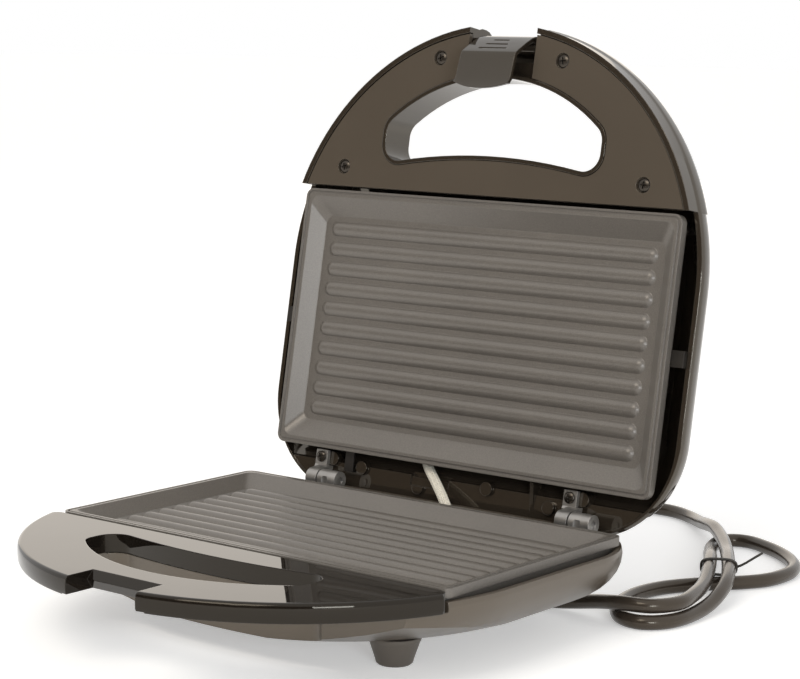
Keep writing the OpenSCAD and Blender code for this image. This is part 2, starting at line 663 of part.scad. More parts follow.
module upper_housing() {
  color("#26221f") lid_frame() difference() {
    union() {
      difference() {
        union() {
          dome_solid(0);
          intersection() {
            translate([0, arc_y, 0]) rotate([0, 0, 180]) rotate_extrude(angle = 180, $fn = 240)
              polygon(concat([[0, 0]], [for (p = grip_prof) [shell_r - p[0], p[1]]], [[0, lid_grip_h]]));
            translate([-shell_r * 2, -shell_r * 3, -1])
              cube([shell_r * 4, shell_r * 3 - plate_d - 2, lid_grip_h + 2]);
          }
        }
        // Hollow over the plate
        difference() {
          dome_solid(1);
          translate([-shell_r * 2, -shell_r * 3, -1])
            cube([shell_r * 4, shell_r * 3 - plate_d - 5, crown_z + 5]);
        }
        // Hollow of the grip, with a solid block for the latch
        translate([0, 0, -1]) linear_extrude(height = lid_grip_h - wall + 1) difference() {
          grip_plan(lip_w, plate_d + 5);
          lid_opening(wall - rim_t);
          translate([-notch_half - 3, -shell_r * 3])
            square([2 * notch_half + 6, shell_r * 3 + finger_y - 10]);
        }
        // Seat of the panel
        translate([0, 0, -1]) linear_extrude(height = panel_z + panel_t + 1.3) difference() {
          grip_plan(lip_w, plate_d + 2);
          lid_opening(-seam);
        }
      }
      // Bosses of the panel, the plate, the hinges and the bosses seen at the back
      for (s = [-1, 1]) {
        for (p = panel_screws_at) translate([s * p[0], p[1], panel_z + panel_t + 0.35])
          cylinder(h = lid_grip_h - panel_z - panel_t - 1, r = 4);
        for (y = plate_post_y) translate([s * plate_post_x, -plate_d / 2 + y, plate_bottom_up + plate_post_h + 0.1])
          cylinder(h = crown_z - plate_bottom_up - plate_post_h - 1, r = 4.5);
      }
      intersection() {
        union() {
          for (x = hinge_at) translate([x + leaf_x + 3.7, 4.8, 6.9]) cylinder(h = crown_z, r = 4.2);
          for (p = [[-61.2, 7.6], [-23.9, 12.6], [18.2, 7.6], [55.9, 11.7], [hinge_at[0] - 1.4, 5.1], [hinge_at[1] - 1.4, 5.1]]) translate([p[0], p[1], ledge_z - ledge_t - 1.9])
            cylinder(h = crown_z, r = 3.5);
          along_x(44.5, 46.5, [[0.5, 6], [17.5, lid_rim_z + 1], [back_y - 1, lid_rim_z + 1], [back_y, crown_z],
            [0.5, crown_z]]);
        }
        union() {
          dome_solid(0);
          translate([-100, 0, 0]) cube([200, 19, ledge_z - 0.2]);
        }
      }
    }
    translate([0, 0, -1]) linear_extrude(height = lid_grip_h + 2) lid_opening(-rim_t);
    // Passage of the wires round the back of the plate
    translate([-30, -2, 0]) cube([24, 9.5, ledge_z + 0.9]);
    translate([-30, 5, 0]) cube([24, 7, ledge_z - 1.1]);
    // Recess of the latch and its pin
    translate([-notch_half, -shell_r * 3, -1]) cube([notch_w, shell_r * 3 + latch_y + 8, recess_top + 1]);
    translate([-notch_half, -shell_r * 3, -1]) cube([notch_w, shell_r * 3 + latch_y - 6, lid_grip_h + 2]);
    translate([-notch_half - 3.3, latch_y, latch_z]) rotate([0, 90, 0])
      cylinder(h = notch_w + 6.6, r = latch_pin_r + 0.02, $fn = 48);
    // Screw holes
    for (x = hinge_at) translate([x + leaf_x + 3.7, 4.8, 5])
      cylinder(h = 7.8, r = screw_r, $fn = 32);
    for (s = [-1, 1]) {
      for (p = panel_screws_at) translate([s * p[0], p[1], 0]) cylinder(h = 14, r = screw_r, $fn = 32);
      for (y = plate_post_y) translate([s * plate_post_x, -plate_d / 2 + y, 5]) {
        cylinder(h = crown_z - 12, r = 1.8, $fn = 32);
        translate([0, 0, crown_z - 13]) cylinder(h = 10, r = 3.6, $fn = 32);
      }
      translate([s * lens_x, lens_y, crown_z - wall - 1]) cylinder(h = wall + 2, r = lens_r + 0.1, $fn = 48);
    }
  }
}
module upper_handle_panel() {
  color("#2b2825") lid_frame() difference() {
    translate([0, 0, panel_z]) linear_extrude(height = panel_t) difference() {
      grip_plan(lip_w + 0.5, plate_d + 2.2);
      lid_opening(0);
      translate([-notch_half, -shell_r * 3]) square([notch_w, shell_r * 3 + finger_y]);
    }
    for (s = [-1, 1], p = panel_screws_at) translate([s * p[0], p[1], panel_z - 1]) {
      cylinder(h = 2.6, r = 3.9, $fn = 48);
      cylinder(h = 6, r = 1.6, $fn = 32);
    }
  }
}
module panel_screws() {
  color("#55504b") lid_frame()
    for (s = [-1, 1], p = panel_screws_at) translate([s * p[0], p[1], panel_z + 1.55])
      mirror([0, 0, 1]) screw(9, 3.3);
}
module upper_heater() {
  color("#6b6661") lid_frame() flip_up() heater();
}
module upper_reflector() {
  color("silver") lid_frame() flip_up() reflector();
}
module upper_plate_clips() {
  color("#8a8783") lid_frame() flip_up() {
    pair() side_clip(shell_r - wall);
    rear_clip();
  }
}
module thermal_fuse() {
  color("#c9b27c") lid_frame() translate([0, -plate_d / 2, plate_bottom_up + 2.1]) {
    translate([-14, 0, 0]) rotate([0, 90, 0]) cylinder(h = 28, r = 2, $fn = 32);
    translate([-17, -4, -2]) cube([3, 8, 5]);
    translate([14, -4, -2]) cube([3, 8, 5]);
  }
}
module upper_screws() {
  color("silver") lid_frame()
    for (s = [-1, 1], y = plate_post_y)
      translate([s * plate_post_x, -plate_d / 2 + y, crown_z - 7.95]) screw(crown_z - 8 - plate_bottom_up - 1.5, 3.2);
}
// Two pilot lamps at the front of the crown
lens_r = 3.5;
lens_x = 13;
lens_y = -plate_d + 18;
module pilot_lens() {
  rotate_extrude() polygon([
    [0, -4], [lens_r, -4], [lens_r, 0.05], [lens_r + 1, 0.05], [lens_r + 0.8, 0.6], [lens_r - 0.4, 1.3], [0, 1.7]
  ]);
}
module pilot_lens_power() {
  color("#a8281e") lid_frame() translate([-lens_x, lens_y, crown_z]) pilot_lens();
}
module pilot_lens_ready() {
  color("#2a8a3a") lid_frame() translate([lens_x, lens_y, crown_z]) pilot_lens();
}
module neon_lamps() {
  color("#d9c7a8") lid_frame()
    for (s = [-1, 1]) translate([s * lens_x, lens_y, crown_z - 4.1]) mirror([0, 0, 1]) cylinder(h = 5, r = 2.2, $fn = 32);
}

// ---- Latch ----
module latch_pin() {
  color("silver") lid_frame() translate([-notch_half - 3, latch_y, latch_z]) rotate([0, 90, 0])
    cylinder(h = notch_w + 6, r = latch_pin_r, $fn = 48);
}
// Clip in [y, z] from its pivot, outside first and then back along the inside
clip_outside = [
  [-3.4, 3.0], [-4.9, 1.6], [-5.7, -0.6], [-5.4, -3.0], [-4.2, -5.6], [-1.2, -10.2], [3.2, -16.2],
  [4.7, -18.0], [6.6, -18.8], [17.9, -20.4], [23.9, -24.2]
];
clip_inside = [
  [24.9, -22.8], [18.5, -18.6], [6.3, -16.8], [5.5, -16.2], [0.3, -9.1], [-2.0, -5.0], [-2.2, -2.0], [-2.2, 0]
];
module latch_clip() {
  color("#4a443e") lid_frame() translate([0, latch_y, latch_z]) difference() {
    union() {
      intersection() {
        along_x(-clip_half, clip_half, concat(clip_outside, clip_inside));
        // The lip ends in an arc
        translate([0, 23.9 - 44, -40]) cylinder(h = 60, r = 44, $fn = 180);
      }
      translate([-clip_half, 0, 0]) rotate([0, 90, 0]) cylinder(h = clip_w, r = 3.2, $fn = 64);
    }
    translate([-clip_half - 1, 0, 0]) rotate([0, 90, 0])
      cylinder(h = clip_w + 2, r = latch_pin_r + pin_fit, $fn = 64);
    // Three grip grooves
    for (g = [[9.6, -2.6, -8.1], [13.2, 0, -11.9], [16.8, 2.5, -15.3]])
      translate([-g[0] / 2, g[1] - 0.4, g[2] - 2]) cube([g[0], 0.8, 2.6]);
  }
}

// ---- Wires and mains lead ----
// A tube along points, with rings of n sides
function unit(v) = v / norm(v);
function tangent(p, i) = unit(p[min(i + 1, len(p) - 1)] - p[max(i - 1, 0)]);
function side_of(t) = norm(cross(t, [0, 0, 1])) < 0.05 ? [1, 0, 0] : unit(cross(t, [0, 0, 1]));
module tube(p, r, n) {
  rings = [for (i = [0 : len(p) - 1]) let (t = tangent(p, i), s = side_of(t), u = cross(s, t))
    for (k = [0 : n - 1]) p[i] + (is_list(r) ? r[i] : r) * (cos(360 * k / n) * s + sin(360 * k / n) * u)];
  m = len(p);
  polyhedron(points = rings, faces = concat(
    [[for (k = [0 : n - 1]) k]],
    [for (i = [0 : m - 2], k = [0 : n - 1])
      [i * n + k, (i + 1) * n + k, (i + 1) * n + (k + 1) % n, i * n + (k + 1) % n]],
    [[for (k = [n - 1 : -1 : 0]) (m - 1) * n + k]]), convexity = 10);
}
// Smooth curve through points, with s steps in each stretch
function spline(p, s) = concat([for (i = [0 : len(p) - 2], j = [0 : s - 1]) let (
  a = p[max(i - 1, 0)], b = p[i], c = p[i + 1], d = p[min(i + 2, len(p) - 1)], t = j / s)
  0.5 * ((2 * b) + (c - a) * t + (2 * a - 5 * b + 4 * c - d) * t * t + (3 * b - a - 3 * c + d) * t * t * t)],
  [p[len(p) - 1]]);
sleeve_pts = [
  [-28.8, 38.4, 18.5], [-25.6, 34.4, 13.9], [-20, 29.2, 9.4], [-11, 23.4, 4], [-2, 17.3, -1.5], [6, 12, -8], [11, 8, -16]
];
module wire_sleeve() {
  color("#d9cfb4") base_frame() tube(spline(sleeve_pts, 3), 2.5, 12);
}
cord_r = 3.5;
cord_z = 7.6;
// Route of the lead, from the strain relief to the plug, in [x, y, height above the worktop]
cord_pts = [
  [32, -14, 7.6], [33, -8, 6.8], [37, -1, 5.2], [45, 4, 4], [56, 8, 3.6], [70, 10, 3.8], [83, 11.5, 5.4],
  [98, 8.5, 8.6], [111.5, 5.5, 10.8], [125, 9.5, 10.8], [132, 22.5, 10.8], [129.5, 39.5, 10.8],
  [122.5, 61.5, 10.8], [112, 84, 11.9], [98.5, 108.5, 11.9], [87.5, 127, 9], [77.5, 145, 5.8],
  [70, 158.5, 3.6], [66.5, 169, 3.6], [66, 178, 3.6], [71, 184, 3.6], [79, 185, 3.6], [88, 181.5, 3.6],
  [100.5, 174.5, 3.6], [112, 165, 3.6], [121, 154.5, 3.6], [126, 145, 3.6], [128.5, 133, 3.6],
  [127, 117, 3.6], [119.5, 103, 3.6], [106.5, 87, 3.6], [96.5, 69.5, 3.6], [93, 53, 3.6], [94, 37, 3.6],
  [99, 22, 3.6], [109, 8.5, 3.6], [120, 4.5, 3.6], [128.5, 9.5, 3.6], [133, 20.5, 3.6], [133.5, 36, 3.8],
  [133, 50, 5.4], [131, 63.5, 8.4], [127, 76, 10.8], [117.5, 94, 11.9], [105.5, 114, 11.9],
  [95, 131, 10.8], [85, 146, 10.8], [73, 162, 10.8], [62, 175, 10.8], [50, 188, 8.6], [38, 202, 5.6],
  [24, 216, 3.8], [9, 224, 3.6], [-7, 225, 3.6], [-25, 221, 3.6], [-42, 212, 4], [-56, 199, 6],
  [-67, 184, 9.6], [-75, 168, 14], [-80, 154, 17.4], [-82, 140, 18.6]
];
tie_at = [111.7, 94.4];
tie_z = 11.9;
tie_w = 18.5;
tie_h = 8.9;
tie_t = 0.9;
module table_frame() {
  translate([0, centre_y, 0]) children();
}
module power_cord() {
  color("#2c2a28") table_frame() tube(cord_pts, cord_r, 10);
}
// Strain relief under the floor, which lets the lead out towards the back
module cord_gland() {
  color("#2c2a28") table_frame() translate([32, 0, cord_z]) {
    translate([-7, -47, -4.6]) cube([14, 9, foot_h - cord_z + 4.55]);
    translate([0, -38.5, 0]) rotate([-90, 0, 0]) rotate_extrude($fn = 48) polygon([
      [0, 0], [4.6, 0], [4.6, 5], [4.1, 5], [4.1, 6], [4.5, 6], [4.5, 10], [4, 10], [4, 11], [4.4, 11],
      [4.4, 15], [3.9, 15], [3.9, 16], [4.3, 16], [4.2, 23.6], [0, 23.6]
    ]);
  }
}
// Wire tie round the bundle
module cord_tie() {
  color("#1c1b1a") table_frame() translate([tie_at[0], tie_at[1], tie_z]) rotate([0, 0, 30.7]) {
    rotate([90, 0, 0]) translate([0, 0, -0.7]) linear_extrude(height = 1.4) difference() {
      round_rect([-tie_w, -tie_h] / 2, [tie_w, tie_h] / 2, 3.9 + 0.5);
      round_rect([-tie_w, -tie_h] / 2 + [tie_t, tie_t], [tie_w, tie_h] / 2 - [tie_t, tie_t], 3.5);
    }
    translate([tie_w / 2 - 0.7, 0, 0]) rotate([0, 57, 3]) cylinder(h = 13, r = 0.6, $fn = 16);
  }
}
plug_end = [-82, 140, 18.6];
module plug_frame() {
  table_frame() translate(plug_end) rotate([90, 0, 4]) children();
}
module mains_plug() {
  color("#2c2a28") plug_frame() rotate_extrude($fn = 72) polygon([
    [0, 0.4], [4.2, 0.4], [5.2, 16], [8.5, 20], [12.5, 27], [15, 33], [18, 37], [18.2, 47], [17.4, 48], [0, 48]
  ]);
}
module plug_pins() {
  color("silver") plug_frame() for (s = [-1, 1]) translate([s * 9.5, 0, 48.02]) {
    cylinder(h = 18, r = 2.4, $fn = 32);
    translate([0, 0, 18]) cylinder(h = 1.2, r1 = 2.4, r2 = 1.4, $fn = 32);
  }
}

lower_housing();
lower_handle_cover();
lower_plate();
lower_heater();
lower_reflector();
thermostat();
terminal_block();
foot_front_left();
foot_front_right();
foot_rear_left();
foot_rear_right();
base_screws();
hinge_leaf_base_left();
hinge_leaf_base_right();
hinge_pin_left();
hinge_pin_right();
hinge_screws_base();
wire_sleeve();
cord_gland();
power_cord();
cord_tie();
mains_plug();
plug_pins();
upper_housing();
upper_handle_panel();
panel_screws();
upper_plate();
upper_heater();
upper_reflector();
upper_plate_clips();
thermal_fuse();
upper_screws();
hinge_leaf_lid_left();
hinge_leaf_lid_right();
hinge_screws_lid();
pilot_lens_power();
pilot_lens_ready();
neon_lamps();
latch_pin();
latch_clip();
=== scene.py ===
"""Sandwich toaster standing open on a worktop: its finishes, its lead and its small fittings."""

import math

import bmesh
import bpy
import numpy as np
from mathutils import Matrix, Vector


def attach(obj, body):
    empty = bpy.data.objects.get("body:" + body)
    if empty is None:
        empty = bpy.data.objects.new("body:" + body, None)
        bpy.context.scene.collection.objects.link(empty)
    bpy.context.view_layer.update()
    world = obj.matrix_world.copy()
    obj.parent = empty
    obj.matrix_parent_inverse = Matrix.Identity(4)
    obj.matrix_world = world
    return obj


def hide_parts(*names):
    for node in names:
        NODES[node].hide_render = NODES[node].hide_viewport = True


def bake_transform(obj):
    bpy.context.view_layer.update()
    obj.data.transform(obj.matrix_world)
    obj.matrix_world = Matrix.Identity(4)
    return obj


bl_info = {
    "name": "Sandwich Toaster",
    "version": (1, 0, 0),
    "blender": (4, 5, 0),
    "location": "View3D > Sidebar > Toaster",
    "description": "Finishes, lead and fittings of a two-plate sandwich toaster with its lid open",
    "category": "Object",
}

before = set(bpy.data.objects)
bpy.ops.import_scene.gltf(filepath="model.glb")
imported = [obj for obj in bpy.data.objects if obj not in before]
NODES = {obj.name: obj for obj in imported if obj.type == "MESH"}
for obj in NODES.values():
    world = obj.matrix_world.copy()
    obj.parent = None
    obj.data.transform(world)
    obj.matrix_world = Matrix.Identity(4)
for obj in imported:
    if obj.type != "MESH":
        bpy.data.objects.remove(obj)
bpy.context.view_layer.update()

# The plates' frame in the row's frame: the back edge of the lower plate's rim, in metres
PLATE_Y = 0.072045
RIM_Z = 0.0442
# The way out of the open lid's inner face
OPEN_ANGLE = math.radians(100)
LID_DOWN = (Matrix.Rotation(-OPEN_ANGLE, 4, "X") @ Vector((0, 0, -1, 0))).to_3d()

# The camera: frame size, focal length and optical centre in pixels, then its place in millimetres in the
# plates' frame, and its yaw, pitch and roll in degrees
FRAME_PX = (800, 679)
FOCAL_PX = 2258.73
CENTRE_PX = (382.36, 349.39)
SENSOR_MM = 36
CAMERA_AT = (659.72, -865.17, 230.50)
CAMERA_TURN = (-38.477, -8.148, 0.781)

# Route of the lead in millimetres: x, y from the plate's back edge, height above the worktop
CORD_ROUTE = [
    (32, -14, 7.6), (33, -8, 6.8), (37, -1, 5.2), (45, 4, 4), (56, 8, 3.6), (70, 10, 3.8), (83, 11.5, 5.4),
    (98, 8.5, 8.6), (111.5, 5.5, 10.8), (125, 9.5, 10.8), (132, 22.5, 10.8), (129.5, 39.5, 10.8),
    (122.5, 61.5, 10.8), (112, 84, 11.9), (98.5, 108.5, 11.9), (87.5, 127, 9), (77.5, 145, 5.8),
    (70, 158.5, 3.6), (66.5, 169, 3.6), (66, 178, 3.6), (71, 184, 3.6), (79, 185, 3.6), (88, 181.5, 3.6),
    (100.5, 174.5, 3.6), (112, 165, 3.6), (121, 154.5, 3.6), (126, 145, 3.6), (128.5, 133, 3.6),
    (127, 117, 3.6), (119.5, 103, 3.6), (106.5, 87, 3.6), (96.5, 69.5, 3.6), (93, 53, 3.6), (94, 37, 3.6),
    (99, 22, 3.6), (109, 8.5, 3.6), (120, 4.5, 3.6), (128.5, 9.5, 3.6), (133, 20.5, 3.6), (133.5, 36, 3.8),
    (133, 50, 5.4), (131, 63.5, 8.4), (127, 76, 10.8), (117.5, 94, 11.9), (105.5, 114, 11.9),
    (95, 131, 10.8), (85, 146, 10.8), (73, 162, 10.8), (62, 175, 10.8), (50, 188, 8.6), (38, 202, 5.6),
    (24, 216, 3.8), (9, 224, 3.6), (-7, 225, 3.6), (-25, 221, 3.6), (-42, 212, 4), (-56, 199, 6),
    (-67, 184, 9.6), (-75, 168, 14), (-80, 154, 17.4), (-82, 140, 18.6),
]
CORD_STEPS = 5
# The tie's centre in the same measures, its turn, and the half sizes and squareness of its loops in millimetres
TIE_AT = (111.7, 94.4, 11.9)
TIE_TURN = math.radians(30.7)
TIE_HALF_WIDTH = 8.75
TIE_HALF_HEIGHT = 3.98
TIE_SQUARENESS = 0.62
TIE_LEAN = 0.65
TIE_TAIL = [(10.5, 1.0, 0), (13, 2.6, -0.6), (17, 5.4, -0.9), (21.2, 8.1, -0.6)]
# Path of the wiring sleeve in millimetres, in the plates' frame
SLEEVE_ROUTE = [
    (-28.8, 38.4, 18.5), (-25.6, 34.4, 13.9), (-20, 29.2, 9.4), (-11, 23.4, 4), (-2, 17.3, -1.5), (6, 12, -8),
    (11, 8, -16),
]
SLEEVE_STEPS = 8
THREAD_RADIUS = 0.0004
THREAD_STEPS = 110

# Angles in degrees up to which a piece is shaded smooth
HOUSING_CREASE = 26
PLATE_CREASE = 24
FOOT_CREASE = 30
SCREW_CREASE = 28

# Colours of the fittings
FOOT_COLOR = (0.12, 0.105, 0.09)
PLUG_COLOR = (0.035, 0.033, 0.031)
CONTACT_COLOR = (0.72, 0.66, 0.48)
TIE_COLOR = (0.02, 0.02, 0.02)
PIN_COLOR = (0.42, 0.41, 0.4)
CLIP_COLOR = (0.05, 0.045, 0.04)
SCREW_COLOR = (0.07, 0.06, 0.05)
HEATER_COLOR = (0.34, 0.32, 0.3)
SHEET_COLOR = (0.72, 0.72, 0.71)
CERAMIC_COLOR = (0.7, 0.66, 0.58)
RED_LENS_COLOR = (0.55, 0.03, 0.02)
GREEN_LENS_COLOR = (0.04, 0.4, 0.1)
GLASS_COLOR = (0.85, 0.8, 0.75)
# Warm tint painted onto the reflections of moulded plastic and of the lead, standing in for the warm room they
# would mirror
PAINTED_WARM_REFLECTION = (1, 0.91, 0.78, 1)
PAINTED_CORD_REFLECTION = (1, 0.9, 0.76, 1)

# The screws, in metres: radius of the head and length of the shank, then how far a head stands proud, and the
# radius of its shank
PANEL_SCREW = (0.0033, 0.008)
HINGE_SCREW = (0.0029, 0.008)
HEAD_RISE = 0.0016
SHANK_RADIUS = 0.00118

# Lamps: name, power setting, size, place, target and colour
LAMPS = (
    ("main_lamp", "key_power", (1.0, 0.7), (0.15, -1.3, 1.4), (0, 0, 0.12), (1, 0.94, 0.84)),
    ("side_lamp", "side_power", (0.5, 0.4), (1.5, -1.05, 0.45), (0, 0, 0.12), (0.88, 0.94, 1)),
    ("back_lamp", "back_power", (2.6, 1.2), (-2.0, 2.2, 0.65), (0, 0, 0.1), (1, 0.82, 0.6)),
)
FLOOR_REACH = 14
CARD_Y = -2.6
CARD_FOOT = 0.02


# ---------------------------------------------------------------- Settings
class ToasterStageSettings(bpy.types.PropertyGroup):
    """Worktop, backdrop and lamps"""

    floor_color: bpy.props.FloatVectorProperty(
        name="Worktop colour", description="Colour of the worktop and the backdrop",
        subtype="COLOR", size=3, min=0, max=1, default=(0.93, 0.93, 0.93))
    sky_strength: bpy.props.FloatProperty(
        name="Soft light", description="Even light from all round", default=0.66, min=0, max=2)
    key_power: bpy.props.FloatProperty(
        name="Main lamp", description="Power of the large warm lamp above the front",
        default=11, min=0, max=200, subtype="POWER")
    side_power: bpy.props.FloatProperty(
        name="Side lamp", description="Power of the cool lamp on the right",
        default=10, min=0, max=200, subtype="POWER")
    back_power: bpy.props.FloatProperty(
        name="Back lamp", description="Power of the warm lamp behind on the left, mirrored by the grip",
        default=6, min=0, max=200, subtype="POWER")
    floor_glow: bpy.props.FloatProperty(
        name="Worktop glow", description="Own light of the worktop, which turns it white to the horizon",
        default=0.38, min=0, max=1)
    card_color: bpy.props.FloatVectorProperty(
        name="Card colour", description="Colour of the dark card that the glossy fronts mirror",
        subtype="COLOR", size=3, min=0, max=1, default=(0.2, 0.16, 0.12))
    card_width: bpy.props.FloatProperty(
        name="Card width", description="Width of the dark card", default=7, min=1, max=12, unit="LENGTH")
    card_height: bpy.props.FloatProperty(
        name="Card height", description="Height of the dark card", default=2.2, min=0.5, max=6, unit="LENGTH")


class ToasterFinishSettings(bpy.types.PropertyGroup):
    """Colours and gloss of the finishes"""

    housing_color: bpy.props.FloatVectorProperty(
        name="Housing colour", description="Glossy plastic of the two housings",
        subtype="COLOR", size=3, min=0, max=1, default=(0.024, 0.0185, 0.0135))
    housing_roughness: bpy.props.FloatProperty(
        name="Housing roughness", description="0 is a mirror", default=0.05, min=0, max=1)
    grip_color: bpy.props.FloatVectorProperty(
        name="Base grip colour", description="Mirror-black plastic of the base's grip",
        subtype="COLOR", size=3, min=0, max=1, default=(0.0085, 0.0065, 0.005))
    panel_color: bpy.props.FloatVectorProperty(
        name="Grip panel colour", description="Satin plastic of the lid's grip panel",
        subtype="COLOR", size=3, min=0, max=1, default=(0.082, 0.066, 0.05))
    coating_color: bpy.props.FloatVectorProperty(
        name="Coating colour", description="Non-stick coating of the cooking plates",
        subtype="COLOR", size=3, min=0, max=1, default=(0.165, 0.149, 0.132))
    coating_speckle: bpy.props.FloatProperty(
        name="Coating speckle", description="How strongly the coating is flecked", default=0.22, min=0, max=1)
    metal_color: bpy.props.FloatVectorProperty(
        name="Hinge colour", description="Cast metal of the hinge leaves",
        subtype="COLOR", size=3, min=0, max=1, default=(0.37, 0.352, 0.33))
    sleeve_color: bpy.props.FloatVectorProperty(
        name="Sleeve colour", description="Woven glass-fibre sleeve over the wires",
        subtype="COLOR", size=3, min=0, max=1, default=(0.86, 0.79, 0.68))
    cord_color: bpy.props.FloatVectorProperty(
        name="Lead colour", description="Sheath of the mains lead",
        subtype="COLOR", size=3, min=0, max=1, default=(0.042, 0.0325, 0.025))


class ToasterLeadSettings(bpy.types.PropertyGroup):
    """Sizes of the lead and its tie"""

    cord_radius: bpy.props.FloatProperty(
        name="Lead radius", description="Radius of the mains lead", default=0.0035, min=0.002, max=0.006,
        unit="LENGTH")
    tie_radius: bpy.props.FloatProperty(
        name="Tie wire radius", description="Radius of the tie's coated wire", default=0.00062, min=0.0003,
        max=0.0015, unit="LENGTH")
    braid_radius: bpy.props.FloatProperty(
        name="Sleeve radius", description="Radius of the wiring sleeve", default=0.00235, min=0.001, max=0.005,
        unit="LENGTH")
    braid_threads: bpy.props.IntProperty(
        name="Braid threads", description="Threads laid each way round the sleeve", default=10, min=4, max=20)
    braid_pitch: bpy.props.FloatProperty(
        name="Braid pitch", description="Length in which a thread goes once round", default=0.021, min=0.004,
        max=0.06, unit="LENGTH")


def settings():
    scene = bpy.context.scene
    return scene.toaster_stage, scene.toaster_finish, scene.toaster_lead


# ---------------------------------------------------------------- Shapes
def plate_point(x, y, z):
    """A point of the plates' frame, in millimetres, as a point of the row's frame."""
    return Vector((x / 1000, y / 1000 + PLATE_Y, z / 1000 + RIM_Z))


def table_point(x, y, h):
    """A point given by its height above the worktop, in millimetres."""
    return Vector((x / 1000, y / 1000 + PLATE_Y, h / 1000))


def smooth_path(points, steps):
    """A curve through the points, with a number of steps from each to the next."""
    path = []
    n = len(points)
    for i in range(n - 1):
        a, b, c, d = points[max(i - 1, 0)], points[i], points[i + 1], points[min(i + 2, n - 1)]
        for k in range(steps):
            t = k / steps
            path.append(0.5 * ((2 * b) + (c - a) * t + (2 * a - 5 * b + 4 * c - d) * t * t
                               + (3 * b - a - 3 * c + d) * t * t * t))
    path.append(points[-1].copy())
    return path


def path_length(path):
    return sum((b - a).length for a, b in zip(path, path[1:]))


def link(obj):
    bpy.context.scene.collection.objects.link(obj)
    return obj


def wire_curve(name, paths, radius, bevel_resolution):
    """A round wire along each of the paths, as a curve object."""
    curve = bpy.data.curves.new(name, "CURVE")
    curve.dimensions = "3D"
    curve.bevel_depth = radius
    curve.bevel_resolution = bevel_resolution
    curve.use_fill_caps = True
    for path in paths:
        spline = curve.splines.new("POLY")
        spline.points.add(len(path) - 1)
        for point, co in zip(spline.points, path):
            point.co = (*co, 1)
        spline.use_smooth = True
    return link(bpy.data.objects.new(name, curve))


def as_mesh(obj, smooth=True):
    """The evaluated object as a plain mesh object of the same name."""
    bpy.context.view_layer.update()
    mesh = bpy.data.meshes.new_from_object(obj.evaluated_get(bpy.context.evaluated_depsgraph_get()))
    name = obj.name
    materials = list(obj.data.materials)
    bpy.data.objects.remove(obj)
    plain = link(bpy.data.objects.new(name, mesh))
    if not mesh.materials:
        for material in materials:
            mesh.materials.append(material)
    if smooth:
        mesh.shade_smooth()
    return plain


def dress(node, material, crease=None):
    """Gives a CAD node its finish and, with a crease angle in degrees, smooth shading up to that angle."""
    mesh = NODES[node].data
    mesh.materials.clear()
    mesh.materials.append(material)
    if crease:
        tree = bpy.data.node_groups.get("CreaseShading")
        if tree is None:
            tree = crease_tree()
        shading = NODES[node].modifiers.new("Crease shading", "NODES")
        shading.node_group = tree
        shading[tree["angle"]] = math.radians(crease)
        weights = NODES[node].modifiers.new("Weighted normals", "WEIGHTED_NORMAL")
        weights.keep_sharp = True


def solids_of(node):
    """The separate solids of a CAD node, each as an array of its points."""
    bm = bmesh.new()
    bm.from_mesh(NODES[node].data)
    bmesh.ops.remove_doubles(bm, verts=bm.verts, dist=1e-6)
    groups, seen = [], set()
    for start in bm.verts:
        if start.index in seen:
            continue
        stack, group = [start], []
        seen.add(start.index)
        while stack:
            vert = stack.pop()
            group.append(vert.co.copy())
            for edge in vert.link_edges:
                other = edge.other_vert(vert)
                if other.index not in seen:
                    seen.add(other.index)
                    stack.append(other)
        groups.append(np.array(group))
    bm.free()
    return groups


# ---------------------------------------------------------------- Materials
FINISHES = {}


def new_material(name):
    """The material of a slot, emptied and ready to be built, or with no tree if it was built before."""
    if name in FINISHES:
        return FINISHES[name], None, None
    material = bpy.data.materials.get(name) or bpy.data.materials.new(name)
    material.use_nodes = True
    tree = material.node_tree
    tree.nodes.clear()
    shader = tree.nodes.new("ShaderNodeBsdfPrincipled")
    output = tree.nodes.new("ShaderNodeOutputMaterial")
    tree.links.new(shader.outputs["BSDF"], output.inputs["Surface"])
    FINISHES[name] = material
    return material, tree, shader


def add(tree, kind, **values):
    """A node with its settings and unlinked inputs."""
    node = tree.nodes.new(kind)
    for key, value in values.items():
        if hasattr(node, key) and key not in node.inputs:
            setattr(node, key, value)
        else:
            node.inputs[key.replace("_", " ")].default_value = value
    return node


def object_noise(tree, scale, detail=3.0, rough=0.55):
    place = add(tree, "ShaderNodeTexCoord")
    noise = add(tree, "ShaderNodeTexNoise", Scale=scale, Detail=detail, Roughness=rough)
    tree.links.new(place.outputs["Object"], noise.inputs["Vector"])
    return noise


def spread(tree, source, low, high, start=0.3, end=0.7):
    """Maps a texture's middle range to a range of values."""
    node = add(tree, "ShaderNodeMapRange")
    for index, value in ((1, start), (2, end), (3, low), (4, high)):
        node.inputs[index].default_value = value
    tree.links.new(source, node.inputs[0])
    return node.outputs[0]


def two_tone(tree, factor, dark, light):
    mix = add(tree, "ShaderNodeMix", data_type="RGBA")
    mix.inputs[6].default_value = (*dark, 1)
    mix.inputs[7].default_value = (*light, 1)
    tree.links.new(factor, mix.inputs[0])
    return mix.outputs[2]


def bump(tree, shader, height, distance, strength=1.0, under=None):
    node = add(tree, "ShaderNodeBump", Strength=strength, Distance=distance)
    tree.links.new(height, node.inputs["Height"])
    if under is not None:
        tree.links.new(under, node.inputs["Normal"])
    tree.links.new(node.outputs["Normal"], shader.inputs["Normal"])
    return node


def shaded(color, factor):
    return tuple(min(max(c * factor, 0), 1) for c in color)


